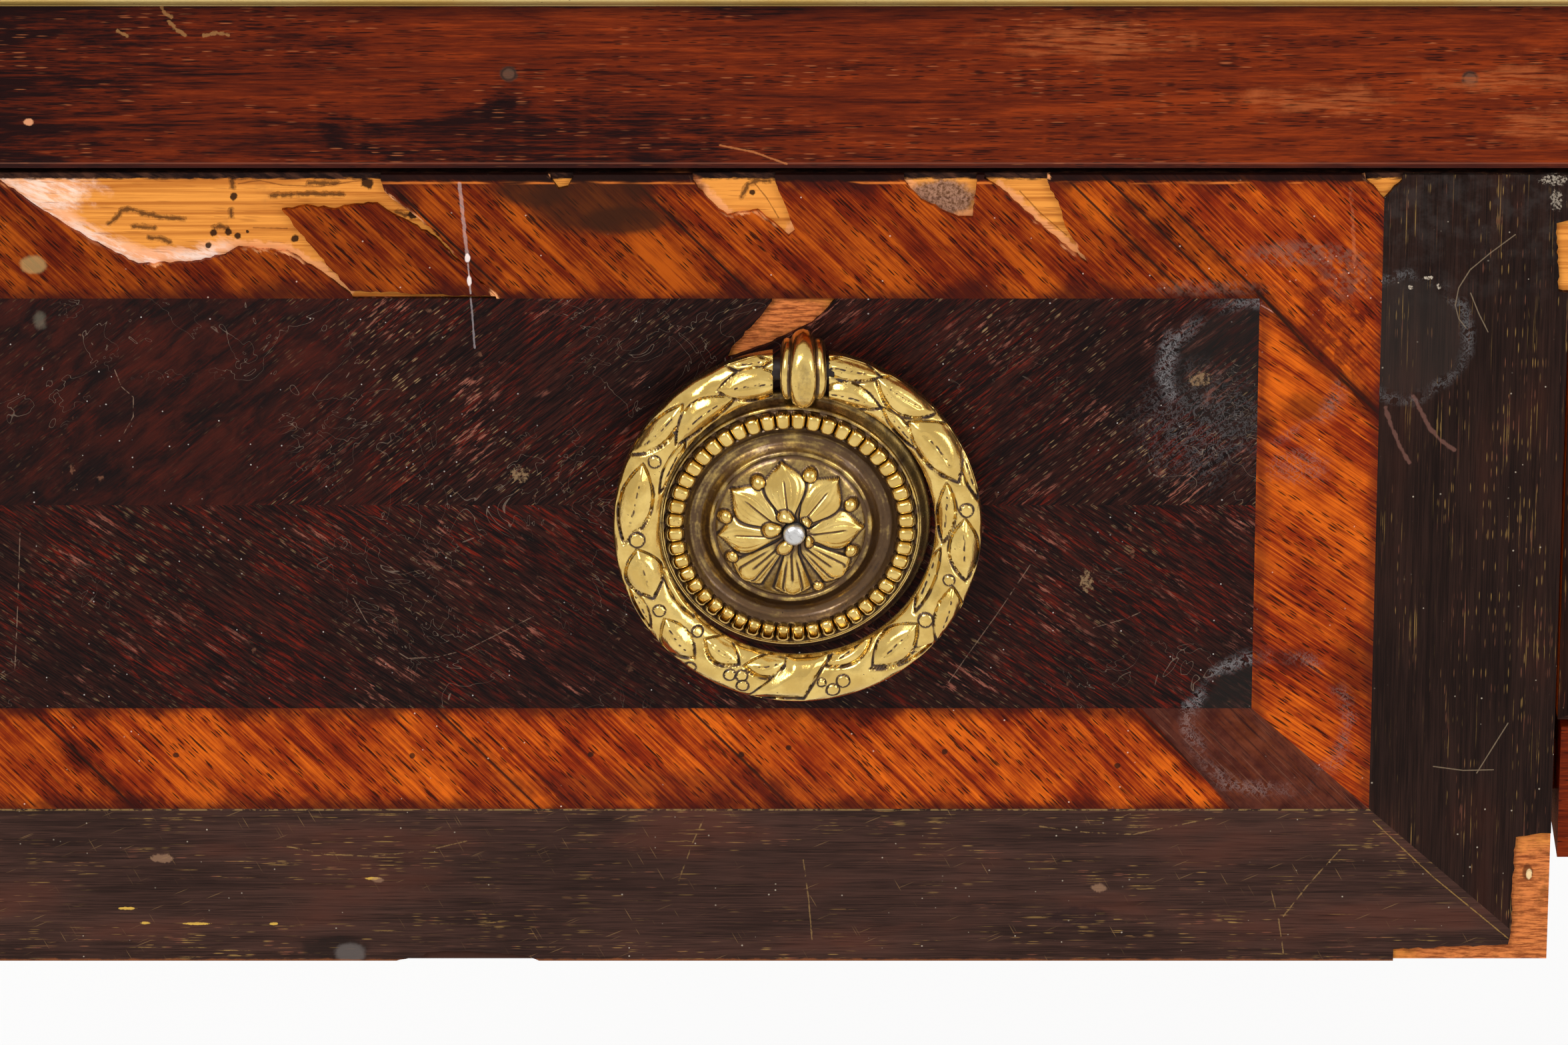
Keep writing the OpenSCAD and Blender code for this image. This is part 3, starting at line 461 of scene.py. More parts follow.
# The strip tells its height range, its joints as x at its middle, how far a joint goes right as it falls,
# the tone of each piece and the x range over which its lower side is shaded
def orangeWood(name, turn, seed=0.0, strip=None, marks=None, feathered=False, tone=1.0):
    board = Finish(name)
    x = board.axis(0)
    z = board.axis(2)
    broad = board.noise(board.grain(turn, 40, 3.2, seed), 5, 0.6, 0.8)
    flame = board.cloud(11, 4, 0.6, seed + 2)
    lines = board.noise(board.grain(turn, 20, 0.42, seed + 4), 4, 0.68, 0.3)
    shade = broad * 0.7 + flame * 0.6 + (lines - 0.5)
    board.color = board.paint(shade.step(0.38, 0.78), tulipwood["orange"], tulipwood["red"])
    board.lay(shade.step(0.70, 0.98), tulipwood["deep"])
    if strip:
        low, high = strip["sides"]
        middle = (low + high) / 2
        along = x + (z - middle) * strip["lean"]
        gap = None
        tone = strip["tones"][0]
        for joint, before, after in zip(strip["joints"], strip["tones"], strip["tones"][1:]):
            near = (along - joint).size()
            tone = along.over(joint) * (after - before) + tone
            gap = near if gap is None else gap.least(near)
    board.color = board.scaled(board.color, tone)
    if strip:
        shadow = gap.step(4.2 * mm, 0) * flame.step(0.40, 0.62)
        board.lay(shadow * 0.75, tulipwood["deep"])
        board.lay(gap.step(0.44 * mm, 0.16 * mm) * 0.92, tulipwood["joint"])
    crowd = board.noise(board.grain(turn, 20, 3.5, seed + 8), 3, 0.6)
    pore = board.dashes(turn, 3.2, 0.40, 0.56, seed + 6, 0.42) * crowd.step(0.34, 0.50)
    pore = pore.most(board.dashes(turn, 7.0, 0.62, 0.2, seed + 7, 0.44) * crowd.step(0.38, 0.54))
    board.lay(pore * 0.9, tulipwood["pore"])
    if strip:
        start, end = strip["shaded"]
        edge = (z - middle).size() / ((high - low) / 2)
        beyond = (x - (start + end) / 2).size().over((end - start) / 2)
        soft = (edge + (flame - 0.5) * 0.9).step(0.66, 1.04) * (1 - beyond * (middle - z).over(0))
        board.lay(soft * 0.8, rgb(48, 13, 9))
    speck = board.dashes(flat, 1.3, 1.3, 0.05, seed + 3, 0.15)
    board.lay(speck * 0.6, rgb(226, 190, 170))
    rough = 0.34 + pore * 0.3
    if marks:
        rough = marks(board, rough)
    if feathered:
        reach = board.add("ShaderNodeAttribute", {"attribute_name": "feather"}, None, 2)
        torn = board.noise(board.grain(turn, 3.2, 0.5, seed + 11), 3, 0.6)
        where = board.cloud(6, 2, 0.5, 2.0).step(0.52, 0.66)
        pale = (reach + (torn - 0.5) * 0.9).step(0.84, 1.0) * where
        board.lay(pale * 0.8, tulipwood["fresh"])
        rough = rough + pale * 0.3
    return board.done(lines * 0.3 - pore * 0.8, 0.05, 0.5, roughness=rough, specular=woodShine)


border = {
    "dark": rgb(40, 26, 22),
    "brown": rgb(74, 49, 41),
    "red": rgb(88, 44, 30),
    "gold": rgb(156, 122, 68),
}


def borderWood(name, turn, seed=0.0, tone=1.0, marks=None, golden=0.62, run=1.0):
    board = Finish(name)
    wide = board.noise(board.grain(turn, 50, 1.3, seed), 6, 0.66, 0.3)
    fine = board.noise(board.grain(turn, 12, 0.22, seed + 2), 3, 0.65)
    patches = board.noise(board.grain(turn, 30, 9, seed + 4), 3)
    shade = wide * 0.6 + (fine - 0.5) * 0.8 + (patches - 0.5) * 0.5
    board.color = board.paint(shade.step(0.08, 0.54), border["dark"], border["brown"])
    board.lay(patches.step(0.5, 0.72) * 0.35, border["red"])
    board.color = board.scaled(board.color, tone)
    field = board.noise(board.grain(turn, 30, 6, seed + 7), 3, 0.6)
    gold = board.dashes(turn, 9 * run, 0.32, 0.36, seed + 5, 0.4) * field.step(0.40, 0.60)
    gold = gold * board.noise(board.grain(turn, 2.2 * run, 0.4, seed + 12), 3, 0.6).step(0.4, 0.54)
    gold = gold.most(board.dashes(turn, 3, 0.30, 0.16, seed + 6) * field.step(0.44, 0.60))
    ochre = board.paint(board.cloud(5, 2, 0.5, seed + 1).step(0.44, 0.6), border["gold"], rgb(122, 74, 56))
    board.lay(gold * golden, ochre)
    pore = board.dashes(turn, 8, 0.26, 0.45, seed + 9, 0.36)
    board.lay(pore * 0.5, rgb(18, 10, 9))
    speck = board.dashes(flat, 1.2, 1.2, 0.05, seed + 3, 0.17)
    board.lay(speck * 0.6, rgb(186, 170, 150))
    rough = 0.5 + gold * 0.2
    if marks:
        rough = marks(board, rough)
    relief = fine * 0.4 - pore * 0.5 - gold * 0.4
    return board.done(relief, 0.06, 0.5, roughness=rough, specular=woodShine)


rosewood = {
    "light": rgb(128, 47, 13),
    "brown": rgb(86, 27, 9),
    "dark": rgb(28, 9, 8),
    "pore": rgb(16, 6, 6),
    "fleck": rgb(176, 100, 58),
}


def bandWood(name, turn, seed=0.0, marks=None, tone=0.0, bright=1.0):
    board = Finish(name, bandY)
    figure = board.noise(board.grain(turn, 34, 4.6, seed), 7, 0.68, 1.2)
    fibre = board.noise(board.grain(turn, 9, 0.4, seed + 2), 4, 0.68)
    level = figure - tone
    if marks:
        level = level - gloomOfBand(board)
    brown = (level + (fibre - 0.5) * 0.8).step(0.22, 0.52)
    board.color = board.paint(brown, rosewood["dark"], rosewood["brown"])
    board.lay((level + (fibre - 0.5) * 1.1).step(0.44, 0.90), rosewood["light"])
    board.color = board.scaled(board.color, bright)
    crowd = board.noise(board.grain(turn, 36, 5, seed + 6), 3)
    pale = board.dashes(turn, 3.6, 0.34, 0.22, seed + 5) * crowd.step(0.44, 0.60)
    board.lay(pale * 0.5, rosewood["fleck"])
    pore = board.dashes(turn, 6, 0.42, 0.42, seed + 4) * crowd.step(0.32, 0.54)
    pore = pore.most(board.dashes(turn, 2.6, 0.34, 0.4, seed + 8) * crowd.step(0.36, 0.56))
    board.lay(pore * 0.78, rosewood["pore"])
    rough = 0.4 + pore * 0.25
    if marks:
        rough = marks(board, rough)
    return board.done(fibre * 0.3 - pore, 0.06, 0.5, roughness=rough, specular=woodShine)


softwood = {
    "pale": rgb(222, 144, 62),
    "line": rgb(158, 84, 28),
    "dirt": rgb(120, 74, 44),
    "oakPale": rgb(190, 150, 98),
    "oakLine": rgb(140, 100, 58),
}


def pineWood(name, turn, seed=0.0, pale="pale", line="line", marks=None):
    board = Finish(name)
    rings = board.noise(board.grain(turn, 60, 0.9, seed), 3, 0.55, 0.3)
    fibre = board.noise(board.grain(turn, 9, 0.2, seed + 3), 3, 0.65)
    broad = board.noise(board.grain(turn, 40, 7, seed + 5), 3)
    board.color = board.paint(rings.step(0.42, 0.66) * 0.75, softwood[pale], softwood[line])
    board.lay((broad + (fibre - 0.5) * 1.3).step(0.45, 0.95) * 0.6, softwood[line])
    dirt = board.cloud(9, 4, 0.6, seed + 7).step(0.60, 0.80)
    board.lay(dirt * 0.4, softwood["dirt"])
    height = fibre * 0.5 - rings * 0.3
    rough = 0.72 + dirt * 0.1
    if marks:
        height = marks(board, height)
    return board.done(height, 0.12, 0.7, roughness=rough, specular=woodShine)


gilt = {
    "polish": rgb(206, 169, 86),
    "rub": rgb(240, 206, 120),
    "brown": rgb(90, 65, 40),
    "dark": rgb(42, 32, 28),
    "spot": rgb(62, 44, 26),
}


def brass(name, patina=None, age=0.35, pale=None, size=5, matt=0.0):
    board = Finish(name)
    broad = board.cloud(size, 4, 0.6)
    fine = board.cloud(0.7, 3, 0.6)
    if patina:
        worn = board.add("ShaderNodeAttribute", {"attribute_name": patina}, None, 2)
    else:
        worn = board.cloud(14, 3, 0.55, 2.0).step(0.4, 0.75) * age
    level = worn + (broad - 0.5) * 0.30 + (fine - 0.5) * 0.30
    board.color = board.paint(broad.step(0.38, 0.68) * 0.7, gilt["polish"], pale or gilt["rub"])
    board.lay(level.step(0.20, 0.60), gilt["brown"])
    board.lay(level.step(0.62, 0.95), gilt["dark"])
    pits = board.dashes(flat, 0.8, 0.8, 0.16, 4.0, 0.2) * broad.step(0.40, 0.60)
    board.lay(pits * 0.75, gilt["spot"])
    board.set(metallic=1 - matt - level.step(0.5, 1.0) * 0.5, specular=0.5)
    board.set(coat=level.step(0.85, 0.35) * 0.6, coatRoughness=0.12)
    rough = 0.17 + matt * 0.5 + level.step(0.1, 0.8) * 0.33 + (fine - 0.5) * 0.12
    return board.done(broad * 0.9 + fine * 0.25 - pits * 0.5, 0.2, 0.6, roughness=rough)


def steel(name):
    board = Finish(name)
    smear = board.noise(board.grain((0, 40, 0), 1.6, 0.5), 4, 0.65)
    board.color = board.paint(smear.step(0.5, 0.8), rgb(204, 202, 200), rgb(96, 88, 84))
    return board.done(smear, 0.15, 0.5, metallic=0.95, roughness=0.25 + smear * 0.2)


# How far the gilt lines stand from the leather's edge, and in millimetres where each fades out
tooling = {
    "thinIn": 12 * mm,
    "thin": (0.9, 0.5),
    "wideIn": 22 * mm,
    "wide": (2.2, 1.7),
    "rope": 9,
    "leatherGrain": 1.4,
}


def leather(name):
    board = Finish(name)
    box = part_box("leather_panel")
    inside = board.fromSide(box, 0).least(board.fromSide(box, 1))
    broad = board.cloud(120, 5, 0.6)
    cells = board.add("ShaderNodeTexVoronoi", {"feature": "DISTANCE_TO_EDGE"},
                      {"Vector": board.even(tooling["leatherGrain"]), "Scale": 1.0})
    tanned = (broad + (board.cloud(9, 4, 0.6) - 0.5) * 0.3).step(0.25, 0.8)
    board.color = board.paint(tanned, rgb(42, 55, 38), rgb(56, 66, 42))
    scuff = board.cloud(30, 5, 0.7, 5.0).step(0.6, 0.75)
    board.lay(scuff * 0.3, rgb(104, 94, 64))
    thinLine = inside.near(tooling["thinIn"], *tooling["thin"])
    wideLine = inside.near(tooling["wideIn"], *tooling["wide"])
    rope = board.add("ShaderNodeTexWave", {"wave_type": "BANDS", "bands_direction": "DIAGONAL"},
                     {"Vector": board.even(tooling["rope"]), "Scale": 1.0, "Distortion": 0.0}, 1)
    gold = thinLine.most(wideLine * rope.step(0.35, 0.6)) * board.cloud(7, 4, 0.6).step(0.3, 0.5)
    board.lay(gold, rgb(186, 150, 78))
    rough = 0.5 + scuff * 0.15 - gold * 0.15
    return board.done(cells.step(0.0, 0.25) * 0.6 - gold * 0.5, 0.15, 0.6, roughness=rough, specular=0.3)


topPlan = {
    "pieceLong": 82 * mm,
    "turns": ((0, 0, 58), (0, 0, 32)),
    "jointFrom": (0.494, 0.498),
    "mitre": (0.5, 0.2),
    "stringIn": 3.2 * mm,
    "stringDark": (1.5 * mm, 1.3 * mm),
    "stringPale": (0.7 * mm, 0.5 * mm),
}


def topWood(name):
    # cross-cut pieces round the leather, mitred at the corners and edged with a string line
    board = Finish(name)
    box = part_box("top_border_veneer")
    inX = board.fromSide(box, 0)
    inY = board.fromSide(box, 1)
    ends = inY.over(inX)
    along = (board.axis(0) * (1 - ends) + board.axis(1) * ends) / topPlan["pieceLong"]
    cell = board.add("ShaderNodeMath", {"operation": "FLOOR"}, {0: along})
    lot = board.add("ShaderNodeTexWhiteNoise", {"noise_dimensions": "1D"}, {"W": cell + ends * 40})
    figures = []
    for turn in topPlan["turns"]:
        broad = board.noise(board.grain(turn, 90, 5.5, 4.0), 5, 0.6, 0.5)
        lines = board.noise(board.grain(turn, 26, 0.6, 5.0), 4, 0.66, 0.3)
        figures.append(broad + (lines - 0.5) * 0.6)
    figure = figures[0] * (1 - ends) + figures[1] * ends
    board.color = board.paint(figure.step(0.36, 0.66), rgb(150, 66, 20), rgb(70, 22, 10))
    board.color = board.scaled(board.color, lot * 0.4 + 0.8)
    fract = board.add("ShaderNodeMath", {"operation": "FRACT"}, {0: along})
    joint = (fract - 0.5).size().step(*topPlan["jointFrom"]).most(inX.near(inY, *topPlan["mitre"]))
    board.lay(joint * 0.8, tulipwood["joint"])
    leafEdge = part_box("leather_panel")[0][1] - box[0][1]
    string = (inX.least(inY) - leafEdge + topPlan["stringIn"]).size()
    board.lay(string.step(*topPlan["stringDark"]), rgb(28, 15, 10))
    board.lay(string.step(*topPlan["stringPale"]), rgb(190, 150, 92))
    wear = board.cloud(40, 5, 0.65, 6.0).step(0.6, 0.8)
    board.lay(wear * 0.2, rgb(176, 110, 62))
    return board.done(lines * 0.4 - joint, 0.06, 0.4, roughness=0.32 + wear * 0.25, specular=0.3)


casePlan = {
    "border": 22.2 * mm,
    "banding": 42.2 * mm,
    "sharp": 0.2 * mm,
    "fieldTilt": 38,
    "bandTilt": 47,
}


def casePanel(name, node, across, seed):
    # an end or back panel: a dark field in two leaves, a diagonal band and a plain border
    board = Finish(name)
    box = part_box(node)
    inside = board.fromSide(box, across).least(board.fromSide(box, 2))

    def streaks(tilt, long, wide, shift, warp=0.4):
        turn = (tilt, 0, 90) if across == 1 else (0, tilt, 0)
        return board.noise(board.grain(turn, long, wide, shift), 5, 0.6, warp)

    upperLeaf = streaks(casePlan["fieldTilt"], 28, 1.4, seed)
    lowerLeaf = streaks(-casePlan["fieldTilt"], 28, 1.4, seed)
    upper = board.axis(2).over((box[0][2] + box[1][2]) / 2)
    field = upperLeaf * upper + lowerLeaf * (1 - upper)
    board.color = board.paint(field.step(0.42, 0.7), kingwood["black"], rgb(78, 30, 18))
    diagonal = streaks(casePlan["bandTilt"], 30, 1.1, seed + 2)
    band = board.paint(diagonal.step(0.40, 0.66), rgb(176, 84, 26), tulipwood["deep"])
    edge = streaks(0, 40, 1.2, seed + 4, 0.0)
    plain = board.paint(edge.step(0.4, 0.64), border["dark"], border["brown"])
    seams = None
    for reach, wood in ((casePlan["banding"], band), (casePlan["border"], plain)):
        board.lay(inside.step(reach + casePlan["sharp"], reach - casePlan["sharp"]), wood)
        seam = (inside - reach).size()
        seams = seam if seams is None else seams.least(seam)
    board.lay(seams.step(0.4 * mm, 0.15 * mm) * 0.7, rgb(18, 10, 7))
    wear = board.cloud(26, 5, 0.65, seed + 6).step(0.62, 0.8)
    board.lay(wear * 0.25, rgb(120, 80, 50))
    return board.done(edge * 0.3 + diagonal * 0.2, 0.08, 0.4, roughness=0.44 + wear * 0.2, specular=0.2)


print("finishes written")


# What the photograph shows on the left drawer's front, in its pixels: places without veneer first
damage = {
    "chips": [
        [(-50, 238), (-30, 256), (0, 273), (52, 310), (105, 344), (160, 374), (207, 398), (286, 395),
         (337, 384), (357, 372), (431, 378), (480, 408), (525, 441), (533, 454), (748, 454),
         (742, 442), (690, 391), (655, 350), (626, 326), (602, 308), (577, 288), (571, 270), (571, 238)],
        [(1036, 238), (1040, 273), (1062, 300), (1091, 324), (1137, 316), (1162, 336), (1183, 355),
         (1193, 347), (1178, 308), (1163, 273), (1160, 238)],
        [(1352, 238), (1357, 273), (1382, 301), (1438, 327), (1459, 327), (1464, 286), (1468, 238)],
        [(1482, 238), (1476, 268), (1500, 283), (1571, 348), (1633, 397), (1598, 340), (1592, 315),
         (1571, 272), (1571, 238)],
        [(2044, 238), (2049, 270), (2076, 299), (2103, 272), (2108, 238)],
        [(822, 238), (826, 268), (838, 284), (852, 281), (860, 266), (862, 238)],
    ],
    "panelChips": [
        [(1150, 440), (1254, 440), (1252, 451), (1219, 485), (1178, 505), (1125, 527), (1091, 538),
         (1098, 520), (1130, 487), (1158, 452)],
    ],
    "borderChips": [
        [(2335, 335), (2338, 437), (2400, 450), (2400, 320)],
        [(2274, 1256), (2312, 1250), (2345, 1250), (2345, 1470), (2088, 1470), (2090, 1424),
         (2180, 1420), (2262, 1417), (2266, 1400), (2268, 1330)],
    ],
    "looseLeaf": [(423, 315), (460, 309), (502, 315), (530, 308), (566, 306), (582, 318), (612, 333),
                  (653, 357), (743, 444), (640, 441), (526, 436), (470, 372)],
    "notch": [(560, 1452), (600, 1440), (632, 1436), (640, 1429), (700, 1427), (745, 1430), (790, 1434),
              (830, 1452)],
}

# Smaller marks. A stroke is a list of pixels, and a spot is (px, py, half width, half height in mm)
photoMarks = {
    "calmEdge": [(640, 600), (330, 600)],
    "drip": [[(689, 275), (693, 310), (697, 350), (701, 385)]],
    "dripLow": [[(702, 396), (706, 440)], [(706, 446), (709, 480), (712, 522)]],
    "drops": [(701, 387, 0.5, 0.9), (704, 421, 0.42, 1.1)],
    "panelScratches": [
        [(530, 898), (548, 930), (575, 965), (612, 988), (655, 986), (700, 975), (760, 945), (800, 925)],
        [(30, 800), (27, 900), (22, 1010)], [(172, 555), (182, 580), (200, 596), (200, 625), (186, 650)],
        [(1545, 848), (1500, 915), (1450, 985), (1415, 1035)], [(1640, 942), (1690, 928), (1712, 918)],
    ],
    # cup marks are spots with a seed
    "cupHigh": (1880, 560, 15.5, 13.8, 2.0),
    "cupLow": (1905, 1085, 14.2, 13.4, 1.0),
    "cupEnd": (2112, 505, 10.5, 11.5, 4.0),
    "bloom": [(1800, 640, 13, 12)],
    "crusts": [(780, 712, 1.8, 1.5), (1800, 568, 2.0, 1.4), (1630, 872, 1.2, 2.2)],
    "panelSmear": [(60, 480, 1.2, 1.9)],
    "stains": [(885, 300, 12.5, 7), (800, 285, 7, 3.5), (940, 330, 8, 3)],
    "glueDrop": [(50, 397, 2.5, 1.9)],
    "mottle": [(2010, 480, 10, 16)],
    "topBandEnd": (2082, 350),
    # a spot, its raggedness, grain and softness, and its strength
    "topHazes": [
        ((1950, 382, 12, 2.6), (0.5, 4.0, 0.6), 1),
        ((2020, 415, 5, 4.5), (0.6, 3.0, 0.8), 0.8),
        ((1812, 432, 12, 1.6), (0.7, 2.0, 0.8), 0.7),
    ],
    "paleSpecks": [(2000, 430, 10, 6)],
    "nick": [[(2026, 282), (2029, 330), (2032, 398)]],
    "cornerJoint": [[(1886, 438), (1968, 528), (2068, 620)]],
    "paleStroke": [[(1892, 458), (1920, 474), (1935, 492)]],
    "scorches": [(1960, 610, 6, 3), (1900, 640, 3, 3), (2040, 1010, 6, 9), (1945, 990, 4, 3)],
    "endWeb": (1950, 700, 6, 4),
    "endBandSides": [(1888, 800), (2062, 800)],
    "nailDots": [(264, 1133, 0.6, 0.6), (618, 1134, 0.6, 0.6), (886, 1132, 0.6, 0.6), (1112, 1132, 0.6, 0.6),
                 (1183, 1122, 0.6, 0.6), (1417, 1128, 0.6, 0.6), (1676, 1149, 0.6, 0.6)],
    "lowSmear": [(1010, 1180, 36, 4)],
    "gouges": [[(2078, 612), (2088, 642), (2101, 672), (2114, 694)],
               [(2120, 594), (2131, 617), (2143, 640), (2160, 660), (2182, 675)]],
    "hairs": [
        [(2273, 352), (2235, 380), (2205, 405), (2188, 432), (2183, 458), (2188, 478), (2199, 492)],
        [(2262, 1085), (2240, 1120), (2215, 1160)], [(2150, 1150), (2195, 1156), (2240, 1155)],
        [(2206, 440), (2218, 470), (2232, 498)],
    ],
    "flakes": [
        ((2330, 270, 2.2, 0.9), 0.5), ((2143, 417, 1.2, 0.32), 0.7), ((2116, 431, 0.4, 0.35), 0.8),
        ((2158, 430, 0.35, 0.8), 0.7), ((2336, 300, 1.0, 2.0), 0.4),
    ],
    "borderScratches": [
        [(1062, 1215), (1040, 1262), (1018, 1322)], [(1205, 1290), (1213, 1350), (1218, 1410)],
        [(1560, 1240), (1630, 1249), (1700, 1252), (1830, 1225)],
        [(1905, 1330), (1918, 1380), (1925, 1430)], [(2010, 1275), (1960, 1330), (1925, 1375)],
        [(430, 1270), (490, 1282), (560, 1285), (640, 1276), (700, 1262)],
    ],
    "mitreGlint": [[(2060, 1232), (2150, 1316), (2262, 1408)]],
    "glints": [(190, 1363, 1.6, 0.3), (295, 1386, 2.4, 0.3), (218, 1385, 0.9, 0.3), (559, 1318, 1.4, 0.3),
               (411, 1386, 0.8, 0.3)],
    "pit": [(505, 1424, 6.5, 2.6)],
    "blob": [(525, 1430, 3.0, 2.2)],
    "knot": [(1620, 1375, 5.5, 2.2)],
    "palePatches": [(243, 1288, 1.9, 1.0), (1648, 1332, 1.4, 0.9), (566, 1320, 1.2, 0.6)],
    "dullField": [(900, 1300, 60, 9)],
    # on the pine core
    "bruise": [[(-20, 262), (0, 277), (52, 312), (105, 346), (160, 374), (207, 396), (286, 393),
                (335, 383)]],
    "milk": (70, 292, 9, 4.5),
    "splinters": [[(335, 383), (357, 370), (431, 376), (480, 406), (525, 438)], [(1044, 276), (1091, 322)],
                  [(1183, 352), (1190, 344)], [(1500, 283), (1571, 346), (1630, 394)],
                  [(1357, 275), (1400, 312)], [(1400, 312), (1438, 325), (1459, 322)]],
    "worms": [
        [(163, 339), (176, 328), (181, 319), (196, 317), (214, 323), (240, 329), (276, 332)],
        [(199, 343), (231, 345)], [(224, 360), (242, 361), (255, 367)], [(348, 270), (348, 284)],
        [(346, 317), (346, 328)], [(406, 297), (460, 294), (514, 295)], [(464, 278), (506, 278)],
        [(321, 345), (330, 342), (340, 346)], [(594, 321), (606, 326), (619, 326)],
        [(1112, 298), (1122, 280), (1136, 274), (1152, 275)],
    ],
    "cracks": [[(357, 279), (388, 274), (423, 281), (480, 283), (546, 273)],
               [(650, 350), (690, 388), (738, 437)], [(1132, 278), (1150, 300), (1168, 330)],
               [(1530, 290), (1560, 322), (1600, 356)], [(380, 345), (430, 346)]],
    # px, py and size
    "wormHoles": [(350, 298, 5), (319, 353, 5), (342, 352, 5), (312, 371, 4), (356, 357, 4), (371, 351, 2),
                  (442, 361, 5), (551, 278, 8), (618, 326, 6), (660, 353, 5), (1128, 292, 4),
                  (2294, 1315, 5)],
    "glue": (1412, 300, 6.5, 3.8),
    # a spot and how bright its wood is
    "warmSpots": [((1010, 285, 6, 3), 1.0), ((1170, 492, 12, 8), 1.14), ((2300, 1400, 26, 22), 0.96)],
    "hollow": [(2292, 1312, 1.0, 1.8)],
    "hollowGlint": [(2294, 1315, 0.55, 1.1)],
    "notchFloor": [(690, 1444, 20, 3)],
    # on the band over the drawer
    "bandGloom": [((800, 210, 46, 9), 0.5, 0.208), ((200, 60, 40, 12), 0.4, 0.07)],
    "plugs": [(763, 111), (2205, 118)],
    "bareSpots": [(2250, 118, 14, 2.6), (2310, 190, 9, 3.5), (1980, 150, 16, 3), (1650, 60, 20, 4)],
    "scars": [[(241, 9), (247, 20), (257, 26)], [(254, 33), (262, 42), (277, 53)],
              [(306, 53), (325, 49), (343, 53)], [(176, 46), (190, 54)]],
    "bandSpeck": [(43, 183, 0.9, 0.75)],
    "bandScratch": [[(1080, 218), (1130, 228), (1180, 246)]],
}

# Joints between the slanting pieces of banding, each as the pixels of its upper and its lower end
photoJoints = {
    "top": [((571, 268), (765, 444)), ((969, 275), (1106, 446)), ((1613, 275), (1766, 444)),
            ((1672, 275), (1827, 444)), ((1720, 275), (1884, 434))],
    "low": [((48, 1061), (199, 1209)), ((663, 1061), (800, 1199)), ((1035, 1061), (1188, 1212)),
            ((1715, 1066), (1843, 1209))],
}
lowBorderTall = 30.4 * mm

# Wear, dirt, painted shade and painted highlights along the edges, as distances from each edge
edgeWearAndLight = {
    "arris": 1.5 * mm,
    "dirt": 0.9 * mm,
    "coreDirtAndShade": 1.4 * mm,
    "smokeFrom": 34 * mm,
    "smokeTo": 6 * mm,
    "hem": 0.2 * mm,
    "foot": (0.55 * mm, 0.1 * mm),
    "bandRimShadow": (4.5 * mm, 0.5 * mm),
    "bandFoot": (1.2 * mm, 0.2 * mm),
    "bandArrisGlint": 0.9 * mm,
}


def faceX(px, py):
    return onFace(px, py, faceY)[0]


def nearEdge(board, place):
    # 1 within a couple of millimetres of the upright edge through a pixel of the photograph
    ragged = (board.cloud(4, 3, 0.6, 6.0) - 0.5) * 4 * mm
    return ((board.axis(0) - faceX(*place)).size() + ragged).step(2.6 * mm, 0)


def cornerJoint(board):
    # the dark slanting joint at the top of the right-hand strip
    far = board.fromStrokes("cornerJoint")
    shadow = (far + (board.cloud(4, 3, 0.6) - 0.5) * 5 * mm).step(3.0 * mm, 0)
    board.lay(shadow * 0.65, tulipwood["deep"])
    board.lay(far.step(0.40 * mm, 0.14 * mm) * 0.92, tulipwood["joint"])


def cupMark(board, name):
    # the torn pale rim and the inside of the round mark that a wet cup leaves
    px, py, wide, high, seed = photoMarks[name]
    far = board.farFrom(px, py, wide, high) + (board.cloud(7, 3, 0.6, seed) - 0.5) * 0.35
    web = board.noise(board.even(1.3, seed), 5, 0.72, 0.6)
    lint = (web - 0.5).size().step(0.06, 0.01).most(web.step(0.56, 0.68) * 0.7)
    rim = (far - 1).size().step(0.16, 0.0) * lint * board.cloud(9, 2, 0.5, seed + 2).step(0.36, 0.54)
    return rim, far.step(1.0, 0.82)


def calmOfPanel(board):
    # the left of the panel is cloudy wood without flecks
    x = board.axis(0) + (board.cloud(20, 3, 0.6, 7.0) - 0.5) * 70 * mm
    clear, calm = [faceX(*place) for place in photoMarks["calmEdge"]]
    return x.step(clear, calm)


def panelMarks(board, rough):
    broken = board.cloud(1.8, 3, 0.6, 3.0).step(0.40, 0.54)
    board.draw("panelScratches", 0.12, 0.4, rgb(146, 118, 98), 0.9, 0.8, broken)
    for name, depth in (("cupHigh", 0.6), ("cupLow", 0.8)):
        rim, inside = cupMark(board, name)
        board.lay(inside * depth, rgb(28, 25, 23))
        board.lay(rim * 0.6, kingwood["haze"])
        rough = rough + rim * 0.12
    board.spots("bloom", 0.2, kingwood["haze"], 0.6, 5.0, 0.9, board.curls(1.5, 0.05))
    hair = board.curls(13, 0.0035, 4.0) * board.cloud(30, 1, 0.5, 5.0).step(0.5, 0.6)
    board.lay(hair * 0.3, rgb(150, 130, 112))
    wear = board.cloud(2.4, 3, 0.6, 8.0).step(0.66, 0.76) * board.cloud(20, 2, 0.5, 1.0).step(0.5, 0.66)
    board.lay(wear * 0.5, kingwood["wear"])
    crumbs = board.cloud(0.6, 3, 0.6).step(0.4, 0.6)
    board.spots("crusts", 0.6, rgb(146, 116, 84), 1.3, 0.8, mask=crumbs)
    board.draw("dripLow", 0.22, 0.28, rgb(196, 182, 184), 0.7, 0.9)
    board.spots("panelSmear", 0.25, rgb(140, 132, 112), 0.6, 1.5, 0.8)
    return rough


